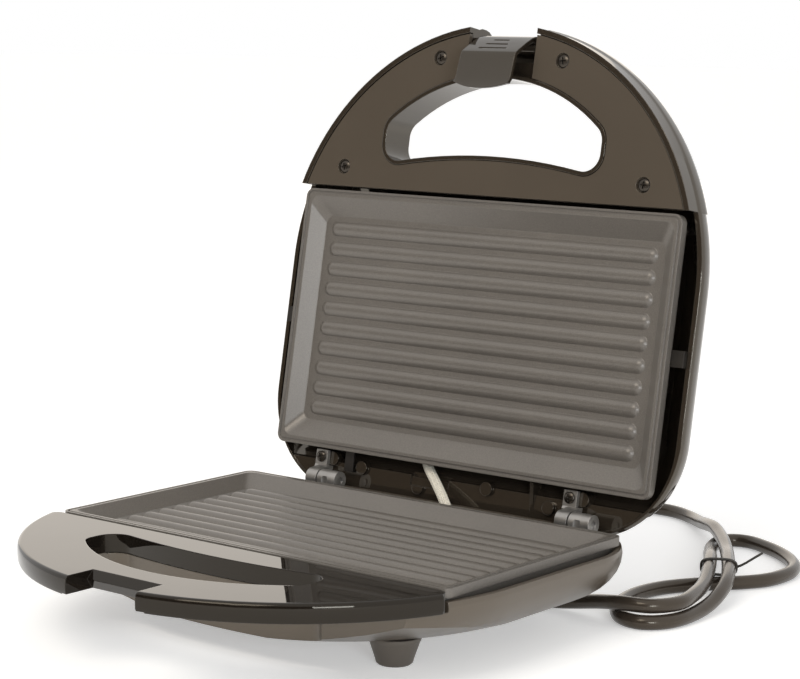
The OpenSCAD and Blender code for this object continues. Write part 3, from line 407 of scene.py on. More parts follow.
def moulded_plastic(name, color, roughness, edge=0.0006, haze=0.03, ripple=0.00002, grain=0.0, sheen=1.5):
    """Injection-moulded plastic: rounded edges, a faint haze and the slight ripple of a moulded wall."""
    material, tree, shader = new_material(name)
    if tree is None:
        return material
    shader.inputs["IOR"].default_value = sheen
    # Painted warm reflection: the specular tint turns everything the plastic mirrors beige
    shader.inputs["Specular Tint"].default_value = PAINTED_WARM_REFLECTION
    haze_noise = object_noise(tree, 38, 4)
    tree.links.new(spread(tree, haze_noise.outputs["Fac"], roughness, roughness + haze, 0.35, 0.7),
                   shader.inputs["Roughness"])
    tone = object_noise(tree, 14, 2)
    tree.links.new(two_tone(tree, tone.outputs["Fac"], shaded(color, 0.9), shaded(color, 1.12)),
                   shader.inputs["Base Color"])
    under = None
    if edge:
        rounding = add(tree, "ShaderNodeBevel", samples=4, Radius=edge)
        under = rounding.outputs["Normal"]
    wave = object_noise(tree, 22, 1)
    node = bump(tree, shader, wave.outputs["Fac"], ripple * 10, 0.25, under)
    if grain:
        texture = object_noise(tree, 2600, 2)
        fine = add(tree, "ShaderNodeBump", Strength=0.5, Distance=grain)
        tree.links.new(texture.outputs["Fac"], fine.inputs["Height"])
        tree.links.new(node.outputs["Normal"], fine.inputs["Normal"])
        tree.links.new(fine.outputs["Normal"], shader.inputs["Normal"])
    return material


def nonstick_coating(name, color, speckle):
    """Sprayed non-stick coating: a warm dark grey flecked with fine pale and dark grains."""
    material, tree, shader = new_material(name)
    if tree is None:
        return material
    place = add(tree, "ShaderNodeTexCoord")
    fleck = add(tree, "ShaderNodeTexNoise", Scale=2100, Detail=2, Roughness=0.6)
    cloud = add(tree, "ShaderNodeTexNoise", Scale=26, Detail=4, Roughness=0.6)
    orange = add(tree, "ShaderNodeTexNoise", Scale=520, Detail=2, Roughness=0.5)
    for node in (fleck, cloud, orange):
        tree.links.new(place.outputs["Object"], node.inputs["Vector"])
    flecked = two_tone(tree, spread(tree, fleck.outputs["Fac"], 0, 1, 0.38, 0.64),
                       shaded(color, 1 - speckle * 0.45), shaded(color, 1 + speckle * 0.6))
    clouds = add(tree, "ShaderNodeMix", data_type="RGBA", blend_type="MULTIPLY")
    clouds.inputs[0].default_value = 1
    tree.links.new(flecked, clouds.inputs[6])
    tree.links.new(two_tone(tree, cloud.outputs["Fac"], (0.9, 0.9, 0.9), (1.08, 1.07, 1.05)), clouds.inputs[7])
    tree.links.new(clouds.outputs[2], shader.inputs["Base Color"])
    tree.links.new(spread(tree, fleck.outputs["Fac"], 0.3, 0.4), shader.inputs["Roughness"])
    shader.inputs["Metallic"].default_value = 0.25
    rounding = add(tree, "ShaderNodeBevel", samples=4, Radius=0.0007)
    skin = bump(tree, shader, orange.outputs["Fac"], 0.0001, 0.25, rounding.outputs["Normal"])
    grains = add(tree, "ShaderNodeBump", Strength=0.25, Distance=0.00004)
    tree.links.new(fleck.outputs["Fac"], grains.inputs["Height"])
    tree.links.new(skin.outputs["Normal"], grains.inputs["Normal"])
    tree.links.new(grains.outputs["Normal"], shader.inputs["Normal"])
    return material


def cast_metal(name, color, roughness, metallic=0.85, scale=700, depth=0.00006):
    """Die-cast or drawn metal with a fine grain and duller patches."""
    material, tree, shader = new_material(name)
    if tree is None:
        return material
    shader.inputs["Metallic"].default_value = metallic
    grain = object_noise(tree, scale, 3)
    patch = object_noise(tree, 120, 3)
    tree.links.new(two_tone(tree, patch.outputs["Fac"], shaded(color, 0.72), shaded(color, 1.2)),
                   shader.inputs["Base Color"])
    tree.links.new(spread(tree, patch.outputs["Fac"], roughness, roughness + 0.15), shader.inputs["Roughness"])
    rounding = add(tree, "ShaderNodeBevel", samples=4, Radius=0.0003)
    bump(tree, shader, grain.outputs["Fac"], depth, 0.5, rounding.outputs["Normal"])
    return material


def cord_sheath(name, color):
    """Soft PVC: semi-gloss with a faint bloom and small marks."""
    material, tree, shader = new_material(name)
    if tree is None:
        return material
    shader.inputs["IOR"].default_value = 1.5
    bloom = object_noise(tree, 45, 4)
    marks = object_noise(tree, 300, 2)
    # Painted warm reflection: the specular tint turns everything the sheath mirrors beige
    shader.inputs["Specular Tint"].default_value = PAINTED_CORD_REFLECTION
    tree.links.new(two_tone(tree, bloom.outputs["Fac"], shaded(color, 0.92), shaded(color, 1.12)),
                   shader.inputs["Base Color"])
    tree.links.new(spread(tree, bloom.outputs["Fac"], 0.21, 0.24), shader.inputs["Roughness"])
    bump(tree, shader, marks.outputs["Fac"], 0.00003, 0.15)
    return material


def fibre_thread(name, color):
    """Glass-fibre yarn, slightly shiny and uneven in tone."""
    material, tree, shader = new_material(name)
    if tree is None:
        return material
    tone = object_noise(tree, 650, 3)
    tree.links.new(two_tone(tree, tone.outputs["Fac"], shaded(color, 0.72), shaded(color, 1.2)),
                   shader.inputs["Base Color"])
    shader.inputs["Roughness"].default_value = 0.45
    bump(tree, shader, tone.outputs["Fac"], 0.0001, 0.4)
    return material


def clear_tint(name, color, roughness=0.08):
    """Tinted clear plastic or glass."""
    material, tree, shader = new_material(name)
    if tree is None:
        return material
    shader.inputs["Transmission Weight"].default_value = 0.55
    tone = object_noise(tree, 90, 2)
    tree.links.new(two_tone(tree, tone.outputs["Fac"], shaded(color, 0.85), shaded(color, 1.1)),
                   shader.inputs["Base Color"])
    tree.links.new(spread(tree, tone.outputs["Fac"], roughness, roughness + 0.06), shader.inputs["Roughness"])
    return material


# ---------------------------------------------------------------- Geometry node trees
def input_socket(tree, name, kind, default, low=None, high=None):
    socket = tree.interface.new_socket(name=name, in_out="INPUT", socket_type=kind)
    socket.default_value = default
    if low is not None:
        socket.min_value = low
    if high is not None:
        socket.max_value = high
    return socket.identifier


def finish_socket(tree):
    return tree.interface.new_socket(name="Finish", in_out="INPUT", socket_type="NodeSocketMaterial").identifier


def feed(tree, socket, value):
    """Sets a socket to a number, or links it to an output."""
    if isinstance(value, (int, float)):
        socket.default_value = value
    else:
        tree.links.new(value, socket)


def math_node(tree, operation, *values):
    node = tree.nodes.new("ShaderNodeMath")
    node.operation = operation
    for socket, value in zip(node.inputs, values):
        feed(tree, socket, value)
    return node.outputs[0]


def vector_math(tree, operation, a, b=None):
    node = tree.nodes.new("ShaderNodeVectorMath")
    node.operation = operation
    tree.links.new(a, node.inputs[0])
    if b is not None:
        tree.links.new(b, node.inputs[1])
    return node


def crease_tree():
    """Shades a mesh smooth and keeps the edges sharp that bend more than an angle."""
    tree = bpy.data.node_groups.new("CreaseShading", "GeometryNodeTree")
    tree.interface.new_socket(name="Geometry", in_out="INPUT", socket_type="NodeSocketGeometry")
    tree["angle"] = input_socket(tree, "Crease Angle", "NodeSocketFloat", math.radians(28), 0, math.pi)
    tree.interface.new_socket(name="Geometry", in_out="OUTPUT", socket_type="NodeSocketGeometry")
    nodes, links = tree.nodes, tree.links
    start = nodes.new("NodeGroupInput")
    end = nodes.new("NodeGroupOutput")
    merged = nodes.new("GeometryNodeMergeByDistance")
    merged.inputs["Distance"].default_value = 0.000002
    links.new(start.outputs["Geometry"], merged.inputs["Geometry"])
    plain = nodes.new("GeometryNodeRemoveAttribute")
    plain.inputs["Name"].default_value = "custom_normal"
    links.new(merged.outputs["Geometry"], plain.inputs["Geometry"])
    faces = nodes.new("GeometryNodeSetShadeSmooth")
    faces.domain = "FACE"
    links.new(plain.outputs["Geometry"], faces.inputs["Geometry"])
    bend = nodes.new("GeometryNodeInputMeshEdgeAngle")
    sharp = nodes.new("FunctionNodeCompare")
    sharp.operation = "GREATER_THAN"
    links.new(bend.outputs["Unsigned Angle"], sharp.inputs["A"])
    links.new(start.outputs["Crease Angle"], sharp.inputs["B"])
    edges = nodes.new("GeometryNodeSetShadeSmooth")
    edges.domain = "EDGE"
    edges.inputs["Shade Smooth"].default_value = False
    links.new(faces.outputs["Geometry"], edges.inputs["Geometry"])
    links.new(sharp.outputs["Result"], edges.inputs["Selection"])
    links.new(edges.outputs["Geometry"], end.inputs["Geometry"])
    return tree


def screw_tree():
    """A pan-head screw with a cross recess at each point, turned to the point's normal."""
    tree = bpy.data.node_groups.new("PanHeadScrews", "GeometryNodeTree")
    tree.interface.new_socket(name="Places", in_out="INPUT", socket_type="NodeSocketGeometry")
    keys = {
        "head": input_socket(tree, "Head Radius", "NodeSocketFloat", 0.0029, 0.001, 0.006),
        "rise": input_socket(tree, "Head Height", "NodeSocketFloat", HEAD_RISE, 0.0005, 0.004),
        "shank": input_socket(tree, "Shank Length", "NodeSocketFloat", 0.008, 0.001, 0.04),
        "slot": input_socket(tree, "Recess Width", "NodeSocketFloat", 0.0007, 0.0002, 0.002),
    }
    keys["finish"] = finish_socket(tree)
    tree.interface.new_socket(name="Geometry", in_out="OUTPUT", socket_type="NodeSocketGeometry")
    nodes, links = tree.nodes, tree.links
    start = nodes.new("NodeGroupInput")
    end = nodes.new("NodeGroupOutput")

    def times(a, b):
        return math_node(tree, "MULTIPLY", a, b)

    def vector(*values):
        node = nodes.new("ShaderNodeCombineXYZ")
        for socket, value in zip(node.inputs, values):
            feed(tree, socket, value)
        return node.outputs[0]

    def moved(geometry, name, value):
        """The geometry with its translation or scale set."""
        node = nodes.new("GeometryNodeTransform")
        links.new(geometry, node.inputs["Geometry"])
        links.new(value, node.inputs[name])
        return node.outputs["Geometry"]

    head_r, rise = start.outputs["Head Radius"], start.outputs["Head Height"]
    shank, slot = start.outputs["Shank Length"], start.outputs["Recess Width"]
    dome = nodes.new("GeometryNodeMeshUVSphere")
    dome.inputs["Segments"].default_value = 32
    dome.inputs["Rings"].default_value = 16
    dome.inputs["Radius"].default_value = 1
    domed = moved(dome.outputs["Mesh"], "Scale", vector(times(head_r, 1.12), times(head_r, 1.12), rise))
    barrel = nodes.new("GeometryNodeMeshCylinder")
    barrel.inputs["Vertices"].default_value = 32
    links.new(head_r, barrel.inputs["Radius"])
    links.new(times(rise, 1.2), barrel.inputs["Depth"])
    lifted = moved(barrel.outputs["Mesh"], "Translation", vector(0, 0, times(rise, 0.6)))
    head = nodes.new("GeometryNodeMeshBoolean")
    head.operation = "INTERSECT"
    links.new(domed, head.inputs["Mesh 2"])
    links.new(lifted, head.inputs["Mesh 2"])
    cut = nodes.new("GeometryNodeMeshBoolean")
    cut.operation = "DIFFERENCE"
    links.new(head.outputs["Mesh"], cut.inputs["Mesh 1"])
    for wide in (True, False):
        bar = nodes.new("GeometryNodeMeshCube")
        long, deep = times(head_r, 1.15), times(rise, 1.2)
        links.new(vector(long, slot, deep) if wide else vector(slot, long, deep), bar.inputs["Size"])
        placed = moved(bar.outputs["Mesh"], "Translation", vector(0, 0, times(rise, 0.98)))
        links.new(placed, cut.inputs["Mesh 2"])
    rod = nodes.new("GeometryNodeMeshCylinder")
    rod.inputs["Vertices"].default_value = 20
    rod.inputs["Radius"].default_value = SHANK_RADIUS
    links.new(shank, rod.inputs["Depth"])
    hung = moved(rod.outputs["Mesh"], "Translation", vector(0, 0, times(shank, -0.5)))
    joined = nodes.new("GeometryNodeJoinGeometry")
    links.new(cut.outputs["Mesh"], joined.inputs[0])
    links.new(hung, joined.inputs[0])
    normal = nodes.new("GeometryNodeInputNamedAttribute")
    normal.data_type = "FLOAT_VECTOR"
    normal.inputs["Name"].default_value = "outward"
    align = nodes.new("FunctionNodeAlignRotationToVector")
    align.axis = "Z"
    links.new(normal.outputs["Attribute"], align.inputs["Vector"])
    turn = nodes.new("FunctionNodeRotateRotation")
    turn.rotation_space = "LOCAL"
    links.new(align.outputs["Rotation"], turn.inputs["Rotation"])
    spin = nodes.new("FunctionNodeRandomValue")
    spin.data_type = "FLOAT_VECTOR"
    spin.inputs["Min"].default_value = (0, 0, 0)
    spin.inputs["Max"].default_value = (0, 0, math.pi / 2)
    spin.inputs["Seed"].default_value = 7
    to_rotation = nodes.new("FunctionNodeEulerToRotation")
    links.new(spin.outputs["Value"], to_rotation.inputs[0])
    links.new(to_rotation.outputs[0], turn.inputs["Rotate By"])
    spread_out = nodes.new("GeometryNodeInstanceOnPoints")
    links.new(start.outputs["Places"], spread_out.inputs["Points"])
    links.new(joined.outputs["Geometry"], spread_out.inputs["Instance"])
    links.new(turn.outputs["Rotation"], spread_out.inputs["Rotation"])
    real = nodes.new("GeometryNodeRealizeInstances")
    links.new(spread_out.outputs["Instances"], real.inputs["Geometry"])
    finish = nodes.new("GeometryNodeSetMaterial")
    links.new(real.outputs["Geometry"], finish.inputs["Geometry"])
    links.new(start.outputs["Finish"], finish.inputs["Material"])
    links.new(finish.outputs["Geometry"], end.inputs["Geometry"])
    return tree, keys


def screws(name, nodes, outward, size, finish, body):
    """Replaces plain CAD screws by pan heads with a cross recess, at the same places."""
    places = []
    for node in nodes:
        for solid in solids_of(node):
            centre = Vector(solid.mean(0))
            top = float((solid @ np.array(outward)).max())
            places.append(centre + Vector(outward) * (top - HEAD_RISE - centre.dot(Vector(outward))))
    mesh = bpy.data.meshes.new(name)
    mesh.from_pydata([tuple(p) for p in places], [], [])
    attribute = mesh.attributes.new("outward", "FLOAT_VECTOR", "POINT")
    for item in attribute.data:
        item.vector = outward
    obj = link(bpy.data.objects.new(name, mesh))
    tree = bpy.data.node_groups.get("PanHeadScrews")
    if tree is None:
        tree, keys = screw_tree()
        tree["keys"] = keys
    keys = tree["keys"]
    modifier = obj.modifiers.new("Screws", "NODES")
    modifier.node_group = tree
    modifier[keys["head"]], modifier[keys["shank"]] = size
    modifier[keys["finish"]] = finish
    plain = as_mesh(obj, smooth=False)
    plain.data.materials.clear()
    plain.data.materials.append(finish)
    plain.data.set_sharp_from_angle(angle=math.radians(SCREW_CREASE))
    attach(plain, body)
    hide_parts(*nodes)
    return plain


def braid_tree():
    """Threads wound both ways round a path, over a plain core."""
    tree = bpy.data.node_groups.new("BraidedSleeve", "GeometryNodeTree")
    tree.interface.new_socket(name="Path", in_out="INPUT", socket_type="NodeSocketGeometry")
    keys = {
        "radius": input_socket(tree, "Sleeve Radius", "NodeSocketFloat", 0.0023, 0.001, 0.005),
        "thread": input_socket(tree, "Thread Radius", "NodeSocketFloat", 0.0003, 0.0001, 0.001),
        "count": input_socket(tree, "Threads", "NodeSocketInt", 10, 4, 20),
        "turns": input_socket(tree, "Turns", "NodeSocketFloat", 3.0, 0.5, 12.0),
        "steps": input_socket(tree, "Steps", "NodeSocketInt", 110, 20, 400),
    }
    keys["finish"] = finish_socket(tree)
    tree.interface.new_socket(name="Geometry", in_out="OUTPUT", socket_type="NodeSocketGeometry")
    nodes, links = tree.nodes, tree.links
    start = nodes.new("NodeGroupInput")
    end = nodes.new("NodeGroupOutput")

    def times(a, b):
        return math_node(tree, "MULTIPLY", a, b)

    def stored(geometry, name, value):
        """The geometry with a number kept at each point."""
        node = nodes.new("GeometryNodeStoreNamedAttribute")
        node.data_type = "FLOAT"
        node.domain = "POINT"
        node.inputs["Name"].default_value = name
        links.new(geometry, node.inputs["Geometry"])
        links.new(value, node.inputs["Value"])
        return node.outputs["Geometry"]

    def kept(name):
        node = nodes.new("GeometryNodeInputNamedAttribute")
        node.inputs["Name"].default_value = name
        return node.outputs["Attribute"]

    joined = nodes.new("GeometryNodeJoinGeometry")
    core_line = nodes.new("GeometryNodeMeshToCurve")
    links.new(start.outputs["Path"], core_line.inputs["Mesh"])
    core_round = nodes.new("GeometryNodeCurvePrimitiveCircle")
    core_round.inputs["Resolution"].default_value = 20
    links.new(times(start.outputs["Sleeve Radius"], 0.93), core_round.inputs["Radius"])
    core = nodes.new("GeometryNodeCurveToMesh")
    core.inputs["Fill Caps"].default_value = True
    links.new(core_line.outputs["Curve"], core.inputs["Curve"])
    links.new(core_round.outputs["Curve"], core.inputs["Profile Curve"])
    links.new(core.outputs["Mesh"], joined.inputs[0])
    for way in (1, -1):
        # One straight line of points for each thread, wound round the path by its place in the line
        ids = nodes.new("GeometryNodeMeshLine")
        links.new(start.outputs["Threads"], ids.inputs["Count"])
        ids.inputs["Offset"].default_value = (0, 0, 0)
        line = nodes.new("GeometryNodeMeshLine")
        links.new(start.outputs["Steps"], line.inputs["Count"])
        line.inputs["Offset"].default_value = (0, 0, 0)
        step = nodes.new("GeometryNodeInputIndex").outputs[0]
        last = math_node(tree, "SUBTRACT", start.outputs["Steps"], 1)
        marked = stored(line.outputs["Mesh"], "share", math_node(tree, "DIVIDE", step, last))
        number = nodes.new("GeometryNodeInputIndex").outputs[0]
        copies = nodes.new("GeometryNodeInstanceOnPoints")
        links.new(stored(ids.outputs["Mesh"], "thread", number), copies.inputs["Points"])
        links.new(marked, copies.inputs["Instance"])
        laid = nodes.new("GeometryNodeRealizeInstances")
        links.new(copies.outputs["Instances"], laid.inputs["Geometry"])
        share, thread = kept("share"), kept("thread")
        sample = nodes.new("GeometryNodeSampleCurve")
        sample.mode = "FACTOR"
        sample.use_all_curves = True
        links.new(core_line.outputs["Curve"], sample.inputs["Curves"])
        links.new(share, sample.inputs["Factor"])
        side = vector_math(tree, "CROSS_PRODUCT", sample.outputs["Tangent"])
        side.inputs[1].default_value = (1, 0.2, 0)
        side_unit = vector_math(tree, "NORMALIZE", side.outputs[0])
        other = vector_math(tree, "CROSS_PRODUCT", sample.outputs["Tangent"], side_unit.outputs[0])
        wound = times(share, times(start.outputs["Turns"], way))
        first = math_node(tree, "DIVIDE", thread, start.outputs["Threads"])
        angle = times(math_node(tree, "ADD", first, wound), 2 * math.pi)
        weave = math_node(tree, "SINE", times(math_node(tree, "ADD", wound, way * 0.5),
                                              times(start.outputs["Threads"], 2 * math.pi)))
        reach = math_node(tree, "ADD", start.outputs["Sleeve Radius"],
                          times(weave, times(start.outputs["Thread Radius"], 0.35)))
        parts = []
        for trig, base in (("COSINE", side_unit), ("SINE", other)):
            scaled = vector_math(tree, "SCALE", base.outputs[0])
            links.new(times(math_node(tree, trig, angle), reach), scaled.inputs["Scale"])
            parts.append(scaled.outputs[0])
        out = vector_math(tree, "ADD", *parts)
        place = vector_math(tree, "ADD", sample.outputs["Position"], out.outputs[0])
        bent = nodes.new("GeometryNodeSetPosition")
        links.new(laid.outputs["Geometry"], bent.inputs["Geometry"])
        links.new(place.outputs[0], bent.inputs["Position"])
        threads = nodes.new("GeometryNodeMeshToCurve")
        links.new(bent.outputs["Geometry"], threads.inputs["Mesh"])
        profile = nodes.new("GeometryNodeCurvePrimitiveCircle")
        profile.inputs["Resolution"].default_value = 5
        links.new(start.outputs["Thread Radius"], profile.inputs["Radius"])
        skin = nodes.new("GeometryNodeCurveToMesh")
        skin.inputs["Fill Caps"].default_value = True
        links.new(threads.outputs["Curve"], skin.inputs["Curve"])
        links.new(profile.outputs["Curve"], skin.inputs["Profile Curve"])
        links.new(skin.outputs["Mesh"], joined.inputs[0])
    real = nodes.new("GeometryNodeRealizeInstances")
    links.new(joined.outputs["Geometry"], real.inputs["Geometry"])
    finish = nodes.new("GeometryNodeSetMaterial")
    links.new(real.outputs["Geometry"], finish.inputs["Geometry"])
    links.new(start.outputs["Finish"], finish.inputs["Material"])
    links.new(finish.outputs["Geometry"], end.inputs["Geometry"])
    return tree, keys


# ---------------------------------------------------------------- Operators
class TOASTER_OT_camera(bpy.types.Operator):
    """Place the camera at a user's height in front, to the right"""

    bl_idname = "toaster.camera"
    bl_label = "Camera"

    def execute(self, context):
        data = bpy.data.cameras.new("Camera")
        data.sensor_width = SENSOR_MM
        data.lens = FOCAL_PX * SENSOR_MM / FRAME_PX[0]
        data.shift_x = (FRAME_PX[0] / 2 - CENTRE_PX[0]) / FRAME_PX[0]
        data.shift_y = (CENTRE_PX[1] - FRAME_PX[1] / 2) / FRAME_PX[0]
        data.clip_start = 0.01
        data.clip_end = 50
        camera = link(bpy.data.objects.new("Camera", data))
        yaw, pitch, roll = (math.radians(a) for a in CAMERA_TURN)
        ahead = Vector((math.sin(yaw) * math.cos(pitch), math.cos(yaw) * math.cos(pitch), math.sin(pitch)))
        level = ahead.cross(Vector((0, 0, 1))).normalized()
        above = level.cross(ahead)
        right = level * math.cos(roll) + above * math.sin(roll)
        up = above * math.cos(roll) - level * math.sin(roll)
        turn = Matrix((right, up, -ahead)).transposed()
        camera.matrix_world = Matrix.Translation(plate_point(*CAMERA_AT)) @ turn.to_4x4()
        context.scene.camera = camera
        return {"FINISHED"}


class TOASTER_OT_lead(bpy.types.Operator):
    """Lay the mains lead in its tied loops, with its plug behind the lid"""

    bl_idname = "toaster.lead"
    bl_label = "Mains lead"

    def execute(self, context):
        _, finish, lead = settings()
        sheath = cord_sheath("cord_pvc", tuple(finish.cord_color))
        path = smooth_path([table_point(*p) for p in CORD_ROUTE], CORD_STEPS)
        curve = wire_curve("mains_lead", [path], lead.cord_radius, 7)
        curve.data.materials.append(sheath)
        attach(curve, "base")
        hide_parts("power_cord")
        dress("cord_gland", sheath)
        dress("mains_plug", moulded_plastic("plug_pvc", PLUG_COLOR, 0.4, edge=0.0005, grain=0.00004))
        dress("plug_pins", cast_metal("plug_metal", CONTACT_COLOR, 0.22, 1.0, 900, 0.00002))
        return {"FINISHED"}


class TOASTER_OT_tie(bpy.types.Operator):
    """Wind the coated wire tie round the lead"""

    bl_idname = "toaster.tie"
    bl_label = "Lead tie"

    def execute(self, context):
        _, _, lead = settings()
        centre = table_point(*TIE_AT)
        across = Vector((math.cos(TIE_TURN), math.sin(TIE_TURN), 0))
        along = Vector((-across.y, across.x, 0))
        up = Vector((0, 0, 1))

        def at(u, v, w=0.0):
            return centre + (across * u + up * v + along * w) / 1000

        turns = []
        for k in range(61):
            a = math.radians(20 + 12 * k)
            c, s = math.cos(a), math.sin(a)
            u = TIE_HALF_WIDTH * math.copysign(abs(c) ** TIE_SQUARENESS, c)
            v = TIE_HALF_HEIGHT * math.copysign(abs(s) ** TIE_SQUARENESS, s)
            turns.append(at(u, v, TIE_LEAN * math.sin(a / 2) - 0.1))
        twist = []
        for k in range(7):
            t = k / 6
            twist.append(at(9.3 + 1.5 * t, 0.4 + 0.9 * t, 0.5 * math.sin(6 * t)))
        tail = smooth_path([at(*p) for p in TIE_TAIL], 6)
        wire = wire_curve("lead_tie_wire", [turns, twist, tail], lead.tie_radius, 3)
        wire.data.materials.append(moulded_plastic("tie_wire", TIE_COLOR, 0.38, edge=0, haze=0.1))
        wire = as_mesh(wire)
        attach(wire, "base")
        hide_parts("cord_tie")
        return {"FINISHED"}


class TOASTER_OT_housings(bpy.types.Operator):
    """Finish the moulded housings, the grips and the latch clip"""

    bl_idname = "toaster.housings"
    bl_label = "Housings and grips"

    def execute(self, context):
        _, finish, _ = settings()
        color, roughness = tuple(finish.housing_color), finish.housing_roughness
        shiny = {
            "upper_housing": moulded_plastic("black_gloss", color, roughness, sheen=1.8),
            "latch_clip": moulded_plastic("clip_gloss", color, roughness, sheen=1.6),
            # The lower housing is the same plastic with its colour lit 2.6 times brighter, a painted sheen
            # standing in for the pale light its satin face mirrors
            "lower_housing": moulded_plastic("shell_satin", shaded(color, 2.6), 0.3, haze=0.05, sheen=1.8),
            "lower_handle_cover": moulded_plastic(
                "grip_cover", tuple(finish.grip_color), roughness * 0.3, haze=0.01, sheen=1.42),
        }
        for node, plastic in shiny.items():
            dress(node, plastic, HOUSING_CREASE)
        dress("upper_handle_panel", moulded_plastic(
            "panel", tuple(finish.panel_color), 0.16, edge=0.0003, haze=0.04, grain=0.00001))
        foot = moulded_plastic("foot_plastic", FOOT_COLOR, 0.4, edge=0.0008, haze=0.12, grain=0.00006)
        for node in ("foot_front_left", "foot_front_right", "foot_rear_left", "foot_rear_right"):
            dress(node, foot, FOOT_CREASE)
        dress("pilot_lens_power", clear_tint("lens_red", RED_LENS_COLOR))
        dress("pilot_lens_ready", clear_tint("lens_green", GREEN_LENS_COLOR))
        dress("neon_lamps", clear_tint("lamp_glass", GLASS_COLOR, 0.03))
        return {"FINISHED"}


class TOASTER_OT_plates(bpy.types.Operator):
    """Coat the ribbed cooking plates"""

    bl_idname = "toaster.plates"
    bl_label = "Cooking plates"

    def execute(self, context):
        _, finish, _ = settings()
        coating = nonstick_coating("nonstick", tuple(finish.coating_color), finish.coating_speckle)
        for node in ("lower_plate", "upper_plate"):
            dress(node, coating, PLATE_CREASE)
        return {"FINISHED"}


class TOASTER_OT_hinges(bpy.types.Operator):
    """Finish the hinge leaves, their pins and the clips beside the plate"""

    bl_idname = "toaster.hinges"
    bl_label = "Hinges"

    def execute(self, context):
        _, finish, _ = settings()
        metal = cast_metal("hinge_metal", tuple(finish.metal_color), 0.3, 0.75)
        pin = cast_metal("pin_steel", PIN_COLOR, 0.3, 1.0, 1500, 0.00002)
        for side in ("left", "right"):
            dress("hinge_leaf_base_" + side, metal)
            dress("hinge_leaf_lid_" + side, metal)
            dress("hinge_pin_" + side, pin)
        dress("latch_pin", pin)
        dress("upper_plate_clips", cast_metal("clip_steel", CLIP_COLOR, 0.35, 0.8))
        return {"FINISHED"}


class TOASTER_OT_screws(bpy.types.Operator):
    """Set the pan-head screws of the panel, the hinges, the plates and the base"""

    bl_idname = "toaster.screws"
    bl_label = "Screws"

    def execute(self, context):
        steel = cast_metal("screw_steel", SCREW_COLOR, 0.22, 0.9, 1800, 0.00003)
        down = tuple(LID_DOWN)
        for name, node, size in (
            ("panel_screw_heads", "panel_screws", PANEL_SCREW),
            ("lid_hinge_screw_heads", "hinge_screws_lid", HINGE_SCREW),
        ):
            screws(name, [node], down, size, steel, "lid")
        for node in ("base_screws", "hinge_screws_base", "upper_screws"):
            dress(node, steel)
        return {"FINISHED"}


class TOASTER_OT_inner_parts(bpy.types.Operator):
    """Finish the heating elements, reflectors and electrical parts"""

    bl_idname = "toaster.inner_parts"
    bl_label = "Inner parts"

    def execute(self, context):
        heater = cast_metal("heater_steel", HEATER_COLOR, 0.4, 1.0, 500, 0.00005)
        sheet = cast_metal("reflector_steel", SHEET_COLOR, 0.25, 1.0, 300, 0.00004)
        ceramic = moulded_plastic("ceramic", CERAMIC_COLOR, 0.35, edge=0.0004, grain=0.00004)
        for half in ("lower", "upper"):
            dress(half + "_heater", heater)
            dress(half + "_reflector", sheet)
        for node in ("thermostat", "terminal_block", "thermal_fuse"):
            dress(node, ceramic)
        return {"FINISHED"}


class TOASTER_OT_sleeve(bpy.types.Operator):
    """Braid the sleeve that carries the wires from the base into the lid"""

    bl_idname = "toaster.sleeve"
    bl_label = "Wiring sleeve"

    def execute(self, context):
        _, finish, lead = settings()
        path = smooth_path([plate_point(*p) for p in SLEEVE_ROUTE], SLEEVE_STEPS)
        mesh = bpy.data.meshes.new("wiring_sleeve")
        mesh.from_pydata([tuple(p) for p in path], [(i, i + 1) for i in range(len(path) - 1)], [])
        obj = link(bpy.data.objects.new("wiring_sleeve", mesh))
        thread = fibre_thread("sleeve", tuple(finish.sleeve_color))
        tree, keys = braid_tree()
        modifier = obj.modifiers.new("Braid", "NODES")
        modifier.node_group = tree
        modifier[keys["radius"]] = lead.braid_radius - THREAD_RADIUS / 2
        modifier[keys["thread"]] = THREAD_RADIUS
        modifier[keys["count"]] = lead.braid_threads
        modifier[keys["turns"]] = path_length(path) / lead.braid_pitch
        modifier[keys["steps"]] = THREAD_STEPS
        modifier[keys["finish"]] = thread
        plain = as_mesh(obj)
        plain.data.materials.clear()
        plain.data.materials.append(thread)
        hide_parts("wire_sleeve")
        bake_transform(plain)
        return {"FINISHED"}


